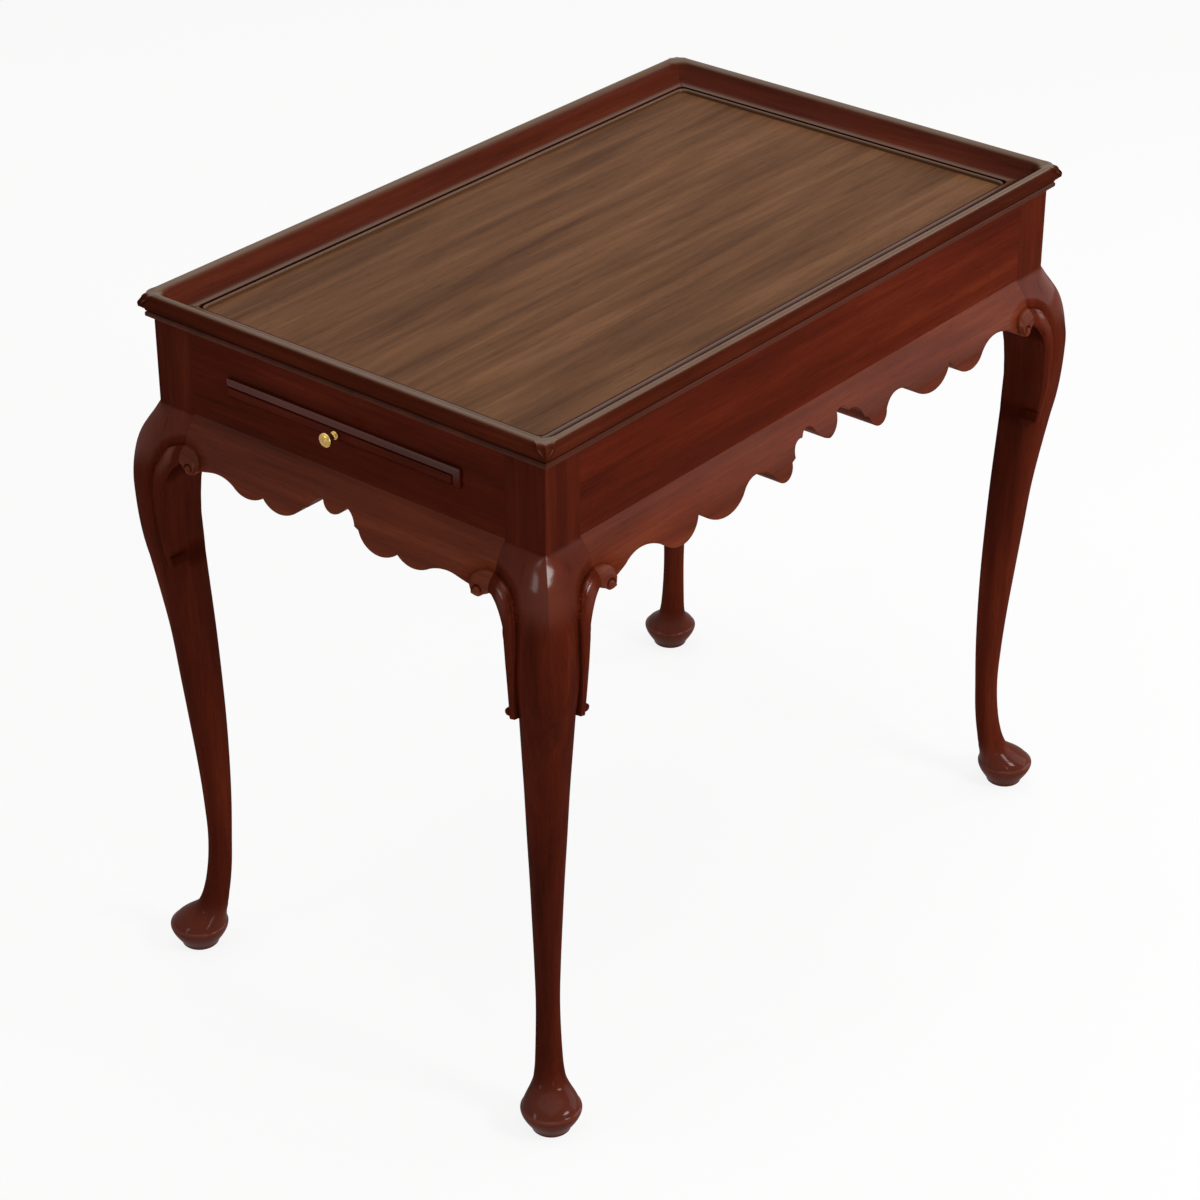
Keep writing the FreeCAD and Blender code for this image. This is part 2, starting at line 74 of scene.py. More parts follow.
print("frame", round(2 * HALF_LENGTH), "x", round(2 * HALF_WIDTH), "mm, post", round(POST), "mm")

# %% [markdown]
# ## From arrays to meshes
# Every new piece below is a grid of points worked out with numpy. It could become a mesh vertex by vertex,
# but handing whole arrays to Blender is shorter and much quicker. One helper numbers the cells of a grid.
# Another makes the piece: it merges doubled points, turns the faces outwards, keeps edges above an angle
# crisp, gives it its finish, hangs it under its body's empty and hides the solid that it stands for.

# %% Grid and piece helpers
SAME_POINT, NO_LENGTH = 2e-6, 1e-6


def ring_cells(rows, cols):
    """Corner numbers of every cell of a grid numbered row by row, the last column joined to the first."""
    r = np.arange(rows - 1)[:, None]
    c = np.arange(cols)[None, :]
    n = (c + 1) % cols
    cells = [r * cols + c, r * cols + n, (r + 1) * cols + n, (r + 1) * cols + c]
    return np.stack(np.broadcast_arrays(*cells), -1).reshape(-1, 4).tolist()


def put_in_scene(name, data):
    """A new object that shows this mesh, lamp or lens."""
    thing = bpy.data.objects.new(name, data)
    bpy.context.scene.collection.objects.link(thing)
    return thing


def make_piece(name, points, faces, finish, node, body="frame", sharp=38, shade_and_sheen_at_points=None):
    """Mesh from points in mm. Its shade and sheen at points is painted light: above 0 painted shade, darkest
    in hollows, and below 0 painted sheen with a glossier coat.
    """
    points = np.asarray(points, float).reshape(-1, 3)
    mesh = bpy.data.meshes.new(name)
    mesh.from_pydata((points * MM).tolist(), [], faces)
    if shade_and_sheen_at_points is not None:
        # painted shade and painted sheen kept on the points as the hollow attribute
        hollow = mesh.attributes.new("hollow", "FLOAT", "POINT")
        hollow.data.foreach_set("value", np.ravel(shade_and_sheen_at_points).astype(np.float32))
    work = bmesh.new()
    work.from_mesh(mesh)
    bmesh.ops.remove_doubles(work, verts=work.verts, dist=SAME_POINT)
    bmesh.ops.dissolve_degenerate(work, edges=work.edges, dist=NO_LENGTH)
    bmesh.ops.recalc_face_normals(work, faces=work.faces)
    work.to_mesh(mesh)
    work.free()
    mesh.shade_smooth()
    mesh.set_sharp_from_angle(angle=math.radians(sharp))
    mesh.materials.append(finish)
    piece = put_in_scene(name, mesh)
    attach(piece, body)
    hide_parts(node)
    print(name, len(mesh.vertices), "points", len(mesh.polygons), "faces")
    return piece


print("a tube of 3 rings of 4 points has", len(ring_cells(3, 4)), "cells")

# %% [markdown]
# ## Curves
# A maker marks a few points and joins them with a bent lath or a compass. One long polynomial would swing
# between the points, so each gap has a cubic of its own, with slopes that agree where two meet. The compass
# is the circle through three points, and a step fades one thing into another.

# %% Curve helpers
def step(low, high, x):
    """0 below low, 1 above high, and between them the smooth S of 3x squared less 2x cubed."""
    x = np.clip((np.asarray(x, float) - low) / (high - low), 0, 1)
    return x * x * (3 - 2 * x)


def hump(x):
    """1 at 0, falling as a half circle to 0 at 1 either side."""
    return np.sqrt(np.clip(1 - np.asarray(x, float) ** 2, 0, 1))


def through(x, xs, ys):
    """Cubic through the points: at each one the slope is that of its neighbours' chord."""
    xs, ys = np.asarray(xs, float), np.asarray(ys, float)
    slope = np.gradient(ys, xs)
    k = np.clip(np.searchsorted(xs, x) - 1, 0, len(xs) - 2)
    h = xs[k + 1] - xs[k]
    u = np.clip((x - xs[k]) / h, 0, 1)
    start = (1 + 2 * u) * (1 - u) ** 2 * ys[k] + u * (1 - u) ** 2 * h * slope[k]
    return start + u * u * (3 - 2 * u) * ys[k + 1] + u * u * (u - 1) * h * slope[k + 1]


def curve(points, count=260):
    """Smooth line through points, with the chord's length as its parameter."""
    p = np.array(points, float)
    run = np.concatenate([[0], np.cumsum(np.linalg.norm(np.diff(p, axis=0), axis=1))])
    s = np.linspace(0, run[-1], count)
    return np.stack([through(s, run, p[:, 0]), through(s, run, p[:, 1])], 1)


def arc(first, middle, last, count):
    """Points on the circle through three points: its centre is as far from each, the angles run evenly."""
    p = np.array([first, middle, last], float)
    centre = np.linalg.solve(2 * (p[1:] - p[0]), (p[1:] ** 2 - p[0] ** 2).sum(1))
    angle = np.unwrap(np.arctan2(*(p - centre).T[::-1]))
    radius = np.linalg.norm(p[0] - centre)
    turn = np.linspace(angle[0], angle[2], count)
    return centre + radius * np.stack([np.cos(turn), np.sin(turn)], 1)


print("a quarter along a step:", float(step(0, 1, 0.25)), "and down a hump:", round(float(hump(0.25)), 3))

# %% [markdown]
# ## Shader values as Python expressions
# A wood finish is a page of arithmetic on noise. Wiring it by hand hides the formula, so one small class
# wraps a socket and turns plus, minus and times into Math nodes. Any other node comes from one method of
# the page that holds the nodes, and the same page serves a finish and the sky.

# %% Shader helpers
class Value:
    """A socket that can stand in a formula; an expression on it adds Math nodes to its page."""

    def __init__(self, page, socket):
        self.page, self.socket = page, socket

    def math(self, operation, *others):
        """A Math node on this value and the others, in that order."""
        return self.page.node("ShaderNodeMath", {"operation": operation}, dict(enumerate((self, *others))))

    def __add__(self, other):
        return self.math("ADD", other)

    def __sub__(self, other):
        return self.math("SUBTRACT", other)

    def __mul__(self, other):
        return self.math("MULTIPLY", other)

    def __rsub__(self, other):
        return self.page.node("ShaderNodeMath", {"operation": "SUBTRACT"}, {0: other, 1: self})

    __radd__, __rmul__ = __add__, __mul__

    def between(self, low, high):
        """0 at low, 1 at high, level beyond them and smooth between."""
        inputs = {"Value": self, "From Min": low, "From Max": high}
        return self.page.node("ShaderNodeMapRange", {"interpolation_type": "SMOOTHSTEP"}, inputs)


class NodePage:
    """A page of nodes, and the one method that adds any node to it."""

    def __init__(self, tree):
        self.tree = tree

    def node(self, kind, settings=None, inputs=None, output=0):
        """Adds a node, makes its settings, feeds its sockets and gives one of its outputs as a Value."""
        made = self.tree.nodes.new(kind)
        for key, value in (settings or {}).items():
            if key == "stops":
                while len(made.color_ramp.elements) < len(value):
                    made.color_ramp.elements.new(0.5)
                for element, (place, colour) in zip(made.color_ramp.elements, value):
                    element.position, element.color = place, (*colour, 1)
            else:
                setattr(made, key, value)
        for key, value in (inputs or {}).items():
            self.feed(made.inputs[key], value)
        return Value(self, made.outputs[output])

    def feed(self, socket, value):
        """Links a Value to a socket, or writes a plain number, colour or vector on it."""
        if isinstance(value, Value):
            self.tree.links.new(value.socket, socket)
        else:
            socket.default_value = value

    def mix(self, share, first, second):
        """Colour that goes from the first to the second by a share; 6, 7 and 2 are Mix's colour sockets."""
        inputs = {0: share, 6: first, 7: second}
        return self.node("ShaderNodeMix", {"data_type": "RGBA"}, inputs, output=2)

    def seen_directly(self):
        """1 where the camera, a reflection or glass looks, else 0: the largest of three rays."""
        rays = ("Is Camera Ray", "Is Glossy Ray", "Is Transmission Ray")
        camera, mirror, glass = (self.node("ShaderNodeLightPath", output=ray) for ray in rays)
        return camera.math("MAXIMUM", mirror).math("MAXIMUM", glass)


class Finish(NodePage):
    """A material with one main shader; what is the same all over is set on the shader's own sockets."""

    def __init__(self, name, **constants):
        self.material = bpy.data.materials.new(name)
        self.material.use_nodes = True
        super().__init__(self.material.node_tree)
        self.shader = self.tree.nodes["Principled BSDF"]
        self.surface(**constants)

    def surface(self, **inputs):
        """Feeds the main shader's sockets, with _ for a blank in their names, and gives the material."""
        for socket, value in inputs.items():
            self.feed(self.shader.inputs[socket.replace("_", " ")], value)
        return self.material


print("shader helpers", [helper.__name__ for helper in (Value, NodePage, Finish)])

# %% [markdown]
# ## Mahogany
# Quartered mahogany shows long soft streaks of lighter and darker red brown, a broken ribbon stripe where
# the fibres lean one way and then the other, and short dark pores. A picture of wood would repeat, so each
# is a noise squeezed across the grain and stretched along it. One function makes every board, and only
# grain and tone differ. The lacquer is a clear coat over slightly rougher wood. On carved pieces painted
# shade darkens the hollows and dulls their coat. Where the carving should shine the coat is glossier and,
# on leg and rim, the colour is painted paler as painted sheen.

# %% Mahogany finish
TURN = {"X": (0, 0, 0), "Y": (0, 0, math.pi / 2), "Z": (0, math.pi / 2, 0)}
PORE_SHARE, PORE_TONE = 0.55, 0.35
PAINTED_SHADE_SHARE, PAINTED_SHADE_TONE, PAINTED_SHADE_DULL = 0.75, 0.2, 0.85
PAINTED_SHEEN_SHARE, SHEEN_GLOSS_GAIN = 0.8, 9


def dimmed(colour, share):
    """A colour with each part times the share, and full alpha."""
    return (*(part * share for part in colour), 1)


def mahogany(name, grain, dark, red, light, coat, streak=1.0, gloss=0.30, soft=0.10,
             carved=False, faded=None):
    """Wood with its grain along one axis. Its figure, half drift, then ribbon and a little fibre, runs
    from dark through red to light; pores darken it, and on carved wood painted shade darkens it and painted
    sheen pales it toward the sheen tone."""
    wood = Finish(name, Coat_Roughness=soft, Coat_IOR=1.5, IOR=1.45, Specular_IOR_Level=0.0)
    place = wood.node("ShaderNodeTexCoord", output="Object")
    turned = {"Vector": place, "Rotation": TURN[grain]}
    along = wood.node("ShaderNodeMapping", None, turned)

    def noise(scale, size, detail, roughness=0.55, warp=0.0):
        """Noise with its own scale along the grain and across it."""
        squeezed = wood.node("ShaderNodeMapping", None, {"Vector": along, "Scale": scale})
        inputs = {"Vector": squeezed, "Scale": size, "Detail": detail, "Roughness": roughness,
                  "Distortion": warp}
        return wood.node("ShaderNodeTexNoise", None, inputs)

    drift = noise(scale=(0.9, 7.0, 7.0), size=3.0, detail=3.0, warp=0.4)
    ribbon = noise(scale=(1.6, 30.0, 30.0), size=2.4, detail=4.0, roughness=0.6, warp=0.3)
    fibre = noise(scale=(6.0, 160.0, 160.0), size=3.0, detail=3.0)
    pore = noise(scale=(40.0, 900.0, 900.0), size=1.6, detail=2.0, roughness=0.5)
    worn = noise(scale=(2.0, 2.0, 2.0), size=9.0, detail=3.0)
    figure = drift * 0.50 + ribbon * (0.38 * streak) + fibre * 0.20 - 0.06 * streak
    stops = [(0.24, dark), (0.50, red), (0.78, light)]
    colour = wood.node("ShaderNodeValToRGB", {"stops": stops}, {0: figure})
    pores = pore.between(0.62, 0.74) * PORE_SHARE
    colour = wood.mix(pores, colour, dimmed(dark, PORE_TONE))
    rough = gloss + figure * 0.10 + pores * 0.12
    lacquer = coat * 0.7 + worn * (coat * 0.6)
    if carved:
        # painted light from the points: painted shade above 0, painted sheen with more gloss below 0
        dirt = wood.node("ShaderNodeAttribute", {"attribute_name": "hollow"}, output="Fac")
        painted_sheen_and_gloss = dirt.between(0.0, -1.0)
        # painted shade: the hollows mixed toward a dimmed dark
        colour = wood.mix(dirt.between(0.15, 1.0) * PAINTED_SHADE_SHARE, colour, dimmed(dark, PAINTED_SHADE_TONE))
        rough = rough + dirt * 0.12
        if faded:
            # painted sheen: where the carving should shine, the colour is paled toward the sheen tone
            colour = wood.mix(painted_sheen_and_gloss * PAINTED_SHEEN_SHARE, colour, (*faded, 1))
        lacquer = lacquer * (1 - dirt.between(0.0, 0.3) * PAINTED_SHADE_DULL + painted_sheen_and_gloss * SHEEN_GLOSS_GAIN)
    bump = {"Strength": 0.06, "Distance": 0.0004, "Height": fibre - pores}
    relief = wood.node("ShaderNodeBump", None, bump)
    return wood.surface(Base_Color=colour, Roughness=rough, Coat_Weight=lacquer, Normal=relief)


def both_grains(name, colours, **sizes):
    """One wood twice: grain along X for the long pieces, along Y for the end ones."""
    return [mahogany(f"{name}_grain_{way.lower()}", way, *colours, **sizes) for way in "XY"]


print("grain runs along", *TURN)

# %% [markdown]
# ## The table's woods
# The case and the legs are the darkest; the flared skirts are painted lighter, a painted light for the sheen
# their flare catches; the rim is painted paler as painted sheen on its crest and the cove's foot, and the
# panel is browner with a stronger figure. One colour for all would be quicker, but the tones tell the pieces
# apart, so each wood has its own dark, red and light streaks.

# %% Wood finishes
CASE = (0.025, 0.0038, 0.0017), (0.080, 0.0104, 0.0037), (0.152, 0.026, 0.0084)
APRON_X, APRON_Y = both_grains("apron", CASE, coat=0.03)
SLIDE = mahogany("slide_front_wood", "Y", *CASE, coat=0.05, soft=0.20, carved=True)
CARVING = (0.022, 0.0036, 0.0016), (0.072, 0.0100, 0.0038), (0.140, 0.025, 0.0090)
# painted sheen: the paler red that knee, arris, scroll's crown and pad are painted toward
PAINTED_SHEEN_RED = (0.112, 0.0190, 0.0070)
LEG = mahogany("leg_wood", "Z", *CARVING, coat=0.03, soft=0.13, carved=True, faded=PAINTED_SHEEN_RED)
# the skirts' lighter colours are painted light, for the sheen their flare catches
FLARE = (0.036, 0.0066, 0.0028), (0.110, 0.0190, 0.0068), (0.195, 0.045, 0.0155)
SKIRT_X, SKIRT_Y = both_grains("skirt", FLARE, coat=0.14, soft=0.20, carved=True)
MOULDING = (0.020, 0.0040, 0.0020), (0.066, 0.0116, 0.0050), (0.120, 0.026, 0.0110)
# painted sheen: the olive brown that the rim's crest, the cove's foot and the flutes' arris are painted
# toward
PAINTED_SHEEN_OLIVE = (0.104, 0.055, 0.023)
RIM_X, RIM_Y = both_grains("rim", MOULDING, coat=0.060, soft=0.20, carved=True, faded=PAINTED_SHEEN_OLIVE)
BOARD = (0.038, 0.0140, 0.0066), (0.104, 0.046, 0.0215), (0.195, 0.090, 0.042)
TOP = mahogany("top_panel_wood", "X", *BOARD, coat=0.10, streak=1.5, gloss=0.34, soft=0.2)
RAW = (0.16, 0.085, 0.040), (0.27, 0.155, 0.080), (0.37, 0.23, 0.125)
INNER = mahogany("inner_wood", "X", *RAW, coat=0.02, gloss=0.55)
print("wood finishes", [m.name for m in bpy.data.materials if m.node_tree])

# %% [markdown]
# ## Brass
# The knob is polished brass with a little tarnish. A plain metal would look new, so the colour wanders
# between yellow and brown and the roughness follows the same noise.

# %% Brass finish
TARNISHED, BRIGHT = (0.33, 0.19, 0.05), (0.60, 0.41, 0.13)
brass = Finish("polished_brass", Metallic=1.0)
spot = brass.node("ShaderNodeTexCoord", output="Object")
cloud = brass.node("ShaderNodeTexNoise", None, {"Vector": spot, "Scale": 260.0, "Detail": 4.0})
tone = brass.node("ShaderNodeValToRGB", {"stops": [(0.35, TARNISHED), (0.65, BRIGHT)]}, {0: cloud})
BRASS = brass.surface(Base_Color=tone, Roughness=0.16 + cloud * 0.14)
print("brass finish", BRASS.name, "with", len(brass.tree.nodes), "nodes")

# %% [markdown]
# ## The scroll on the knee
# Beside each knee a C-scroll is carved: a raised band that climbs the leg, turns over and ends in a curl
# with a small button for an eye. Modelling it with loops would take a day; as a height above the plain face
# it is a short formula of the distances to the band's outer line, its inner edge and the eye. In that face,
# t runs in from the apron's corner and z is the height, so leg and skirt share one carving.

# %% Scroll lines
# t and z along the band's outer line, along its inner edge, and of the eye
LINE = curve([
    (17.5, 426), (14.6, 455), (12.3, 479), (10.6, 503), (12.0, 525), (14.5, 534), (19, 543), (26, 550.5),
    (35, 555), (45, 557.4), (54, 556.4), (61, 552.8), (64.6, 547.5), (64.4, 542), (62.5, 538)])
EDGE = curve([
    (25, 426), (23.3, 444), (22.5, 469), (23, 487), (24, 504), (25.7, 518), (28.7, 525), (33, 532),
    (38, 537.7), (43, 541), (48, 538.6), (54, 535), (60, 536.4), (63.4, 539.6)])
EYE = (54.6, 540.2)
CLOSE_BY = 2.0


def nearest(t, z, line):
    """Distance to a line, close by square to its run, and the side: positive right of the way it runs."""
    away = np.stack(np.broadcast_arrays(t, z), -1)[..., None, :] - line
    square = (away ** 2).sum(-1)
    k = square.argmin(-1)
    run = np.gradient(line, axis=0)[k]
    off = np.take_along_axis(away, k[..., None, None], -2)[..., 0, :]
    beside = (run[..., 1] * off[..., 0] - run[..., 0] * off[..., 1]) / np.linalg.norm(run, axis=-1)
    straight = np.sqrt(square.min(-1))
    return np.where(straight > CLOSE_BY, straight, np.abs(beside)), np.sign(beside)


print("scroll line", len(LINE), "points, curl", round(float(np.ptp(LINE[:, 0])), 1), "mm across")

# %% Scroll relief
# the band above the face, the bead along its line, and the quirk beside the bead
BAND_UP, BEAD_UP, BEAD_HALF, QUIRK_DEEP, QUIRK_IN, QUIRK_WIDE = 0.8, 0.25, 0.8, 0.28, 1.8, 0.7
# the band's swell on the leg and what the turn adds, and the round along its inner edge
SWELL, TURN_SWELL, EASE_WIDE, EASE_LEG, EASE_CURL = 0.80, 1.3, 3.4, 1.7, 0.7
# the hollow outside the band: depth and its gain going up, width, its gain, and what the curl adds
COVE_DEEP, COVE_DEEPER, COVE_WIDE, COVE_WIDER, CURL_WIDER = 0.8, 1.5, 5.5, 4.0, 4.5
COVE_LOW, COVE_FULL = 440, 505
# the ring cut round the eye, and the eye's button
RING_DEEP, RING_AT, RING_WIDE, EYE_UP, EYE_ROUND = 1.5, 4.5, 0.8, 0.7, 4.1


def scroll_relief(t, z):
    """Height of the carving above the plain face, its painted shade, darkest in the quirk, the ring and the
    hollow beside the band, and its share on the band. On the band: its rise, a bead less a quirk, a sine
    across for the swell, an eased edge, a ring and the eye. Outside it: a hollow, deepest at the band's line,
    that runs out over its width."""
    t, z = np.broadcast_arrays(np.asarray(t, float), np.asarray(z, float))
    away, side = nearest(t, z, LINE)
    inside = away * side
    from_edge, _ = nearest(t, z, EDGE)
    on = step(-0.8, 0.8, inside)
    lined = step(552, 540, z) * step(450, 500, z)
    bead = BEAD_UP * hump((inside - BEAD_HALF) / BEAD_HALF) * lined
    quirk = QUIRK_DEEP * np.exp(-((inside - QUIRK_IN) / QUIRK_WIDE) ** 2) * lined
    across = np.clip((inside - QUIRK_IN) / np.maximum(inside - QUIRK_IN + from_edge, 0.1), 0, 1)
    swell = (SWELL + TURN_SWELL * step(514, 540, z)) * np.sin(np.pi * across ** 0.8) * step(1.4, 3.0, inside)
    easing = np.clip(1 - from_edge / EASE_WIDE, 0, 1) ** 2 * (EASE_LEG * step(46, 41, t) + EASE_CURL)
    round_curl = step(0.35, 1.4, np.arctan2(t - EYE[0], z - EYE[1] - 6))
    climbed = step(COVE_LOW, COVE_FULL, z)
    width = COVE_WIDE + COVE_WIDER * climbed + CURL_WIDER * round_curl
    reach = np.clip(1 + np.minimum(inside, 0) / width, 0, 1)
    cove = (COVE_DEEP + COVE_DEEPER * climbed) * reach ** 1.2
    r = np.hypot(t - EYE[0], z - EYE[1])
    ring = RING_DEEP * np.exp(-((r - RING_AT) / RING_WIDE) ** 2) * step(538, 541, z) * step(0.2, 1.2, inside)
    eye = EYE_UP * hump(r / EYE_ROUND)
    high = on * (BAND_UP + bead - quirk + swell - easing - ring + eye) - (1 - on) * cove
    # painted shade: darker in the quirk, in the ring round the eye and in the hollow beside the band
    beside_band = 0.35 * reach + 0.6 * np.clip(1 - away / 1.2, 0, 1)
    dirt = on * (1.4 * quirk + 0.6 * ring) + (1 - on) * beside_band
    return high, np.clip(dirt, 0, 1), on


print("eye stands", round(float(scroll_relief(*EYE)[0]), 2), "mm above the plain face")

# %% [markdown]
# ## Cabriole legs
# A cabriole leg is sawn from one square blank: post, knee, shank, ankle and pad foot. It could be built by
# extruding and bending a box, but its sections are simple, so the leg is a tube of sections from the floor
# to the apron's top. A section is a square with rounded corners that looks out along the leg's diagonal and
# becomes round at the ankle and the pad. Above the scroll's foot its outer corner tightens to the post's
# arris. The tables hold its sizes.

# %% Leg tables
# height, outer and inner point along the diagonal, width across it
SHANK = np.array([
    (45, 0.2, -28.8, 29.0), (49, -2.0, -29.6, 27.6), (54, -4.1, -30.3, 26.2), (69, -8.4, -32.6, 24.2),
    (85, -11.2, -34.4, 22.9), (118, -13.9, -36.4, 21.6), (160, -12.6, -38.4, 23.4), (212, -8.6, -39.2, 27.1),
    (250, -4.7, -38.9, 30.0), (300, 0.6, -37.4, 34.6), (352, 6.2, -35.1, 39.0), (400, 14.2, -32.2, 44.0),
    (430, 19.81, -30.4, 47.06)])
# height, radius and middle along the diagonal
PAD = np.array([
    (0, 15.6, 0), (0.8, 17.0, 0), (3, 18.0, 0), (5.5, 19.3, 0), (10, 22.3, 0), (15, 25.3, 0), (19, 27.0, 0),
    (21.5, 27.6, 0), (23.6, 27.5, -0.1), (24.4, 27.1, -0.2), (24.9, 26.3, -0.4), (26.0, 25.8, -0.9),
    (29, 24.4, -2.2), (32, 22.5, -4.2), (35, 20.2, -6.8), (38, 18.0, -9.6), (41, 16.1, -12.2),
    (45, 14.5, -14.3)])
# height, and leg's inner face in from the corner under the arch
ARCH = np.array([
    (430, 23.4), (444, 23.2), (469, 22.5), (487, 23), (504, 24), (518, 25.7), (525, 28.7), (532, 33),
    (537.7, 38), (540, 40.8), (541, 43)])
# height, and how far the outer corner is drawn back from the square
KNEE_CUT = np.array([
    (430, 6.6), (503, 7.3), (518, 6.86), (534, 5.7), (542, 4.82), (550, 3.93), (558, 3.27), (566, 2.95),
    (574, 2.25), (580, 0.8), (582, 0.24)])
# height, and band's outer line in from the corner
GUIDE = np.array([(430, 17.6), (455, 14.6), (479, 12.3), (503, 10.6), (525, 12), (534, 14.5), (545, 15.5)])
# the knee's widest place and the scroll's foot: how far under the apron, and how far out
KNEE_DROP, KNEE_OUT, SCROLL_DROP, SCROLL_OUT = 79, 27.4, 152, 20.6
KNEE_Z, SCROLL_Z, SPRING_Z, ANKLE_Z = APRON_LOW - KNEE_DROP, APRON_LOW - SCROLL_DROP, 541, 118
print("knee at", round(KNEE_Z), "mm, scroll's foot at", round(SCROLL_Z), "mm, ankle at", ANKLE_Z, "mm")

# %% Leg sizes at a height
# corner rounding at the ankle, what the outer one gains and the inner one loses up to the scroll
ANKLE_ROUND, NOSE_GAIN, HEEL_LOSS = 9.5, 13, 3
# rounding of the flank under the band, the post's arris, and a corner's cut as a share of its rounding
FLANK_ROUND, POST_ARRIS, CORNER_CUT = 18.38, 0.4, 0.293
ROOT = math.sqrt(2)
OPEN = ROOT - 1


def shank(z):
    """Outer point, inner point and width of the shank at each height, from its table."""
    return [through(z, SHANK[:, 0], SHANK[:, k]) for k in (1, 2, 3)]


def under_apron(z):
    """1 under the apron, fading to 0 where the carving meets it."""
    return step(APRON_LOW - 0.5, APRON_LOW - 4, z)


def knee_out(z):
    """Knee and skirt beyond the apron's face: an arc up to the apron and a flatter one down to the
    scroll's foot. An arc's radius is its height squared plus its fall squared, over twice the fall."""
    up = (KNEE_DROP ** 2 + KNEE_OUT ** 2) / (2 * KNEE_OUT)
    fall = KNEE_OUT - SCROLL_OUT
    down = ((SCROLL_DROP - KNEE_DROP) ** 2 + fall ** 2) / (2 * fall)
    radius = np.where(z > KNEE_Z, up, down)
    out = KNEE_OUT - radius + np.sqrt(np.maximum(radius ** 2 - (z - KNEE_Z) ** 2, 0))
    return np.where(z >= APRON_LOW, 0, np.maximum(out, 0))


def leg_sizes(z):
    """How far the faces lie out and in from the corner, the rounding of flank and heel, and the outer
    corner's cut. Above the scroll's foot they are the knee's own. Below it a face lies at the diagonal's
    point plus (root two less one) times the rounding, over root two."""
    upper = z > SCROLL_Z
    high, low, across = shank(z)
    share = np.clip((z - ANKLE_Z) / (SCROLL_Z - ANKLE_Z), 0, 1)
    nose, heel = ANKLE_ROUND + NOSE_GAIN * share, ANKLE_ROUND - HEEL_LOSS * share
    out = np.where(upper, knee_out(z), (high + OPEN * nose) / ROOT)
    arch = np.where(z < SPRING_Z, np.interp(z, *ARCH.T), POST)
    inner = np.where(upper, arch, (OPEN * heel - low) / ROOT)
    flank = np.where(upper, FLANK_ROUND, ((out + inner) / ROOT - across / 2) / OPEN)
    heel = np.where(z < SPRING_Z, heel, POST_ARRIS)
    cut = np.where(upper, through(z, *KNEE_CUT.T), CORNER_CUT * nose)
    return out, inner, flank, heel, cut


print("knee stands", round(float(knee_out(KNEE_Z)), 1), "mm out from the apron")

# %% [markdown]
# ## Painted shade and sheen, and section of a leg
# The knee, its arris, the crown of the scroll and the pad are painted paler as painted sheen and get a
# glossier coat, and painted shade darkens the recess behind the scroll. It could be painted by hand, but
# as shares it follows the carving by itself. The half section joins five runs of points: heel, flank,
# band, front and corner.

# %% Carved half section
HEEL, FLANK, BAND, FRONT, CORNER = 8, 10, 44, 34, 16
SPLIT = math.radians(43)
# the scroll's rolled foot and the nick above it: how far out, how high its middle and half height
ROLL_OUT, ROLL_HALF, NICK_IN, NICK_UP, NICK_HALF = 3.3, 5.2, 0.9, 11.6, 1.4
# how many cuts an outer corner's curve reaches, what the knee adds, and where the knee begins
CORNER_REACH, KNEE_REACH, KNEE_FROM = 4, 5.2, 512
# painted shade behind the curl and behind the rolled foot: how much, how high, and half height
CURL_SHADE, CURL_Z, CURL_HALF, FOOT_SHADE, FOOT_UP, FOOT_HALF = 0.75, 531, 15, 0.55, 3, 14
# painted sheen with more gloss: knee, its arris beyond that, the band's crown, the pad and its ridge;
# and where the ridge is
KNEE_SHEEN, ARRIS_SHEEN, BAND_SHEEN, PAD_SHEEN, RIDGE_SHEEN, RIDGE_Z = 0.45, 0.45, 0.8, 0.55, 0.45, 24.0


def count_up(cells):
    """Shares from just above 0 to 1, as a row."""
    return np.arange(1, cells + 1)[None, :] / cells


def leg_painted_light(z, t, band_middle, dirt, on):
    """Painted shade of the carved faces less the painted sheen, and the painted shade of heel and flank
    behind the scroll.
    """
    knee = step(KNEE_FROM, 550, z) * step(APRON_LOW + 0.5, APRON_LOW - 3, z)
    pad = PAD_SHEEN * step(60, 30, z) + RIDGE_SHEEN * hump((z - RIDGE_Z) / 1.4)
    crown = np.concatenate([np.zeros((1, 1 + BAND + FRONT)), count_up(CORNER) ** 1.5], 1)
    band_crown = BAND_SHEEN * hump((t - band_middle) / 7) ** 2
    painted_sheen_and_gloss = knee * ((KNEE_SHEEN + ARRIS_SHEEN * crown) * (1 - on) + band_crown * on)
    # worn: the painted shade less the painted sheen, which also glosses the coat
    worn = dirt - painted_sheen_and_gloss * np.clip(1 - dirt / 0.3, 0, 1) - pad
    # painted shade in the recess behind the curl and above the rolled foot
    recess_shade = CURL_SHADE * hump((z - CURL_Z) / CURL_HALF)
    recess_shade = recess_shade + FOOT_SHADE * hump((z - SCROLL_Z - FOOT_UP) / FOOT_HALF)
    return worn, np.zeros((len(z), HEEL + FLANK)) + recess_shade - pad


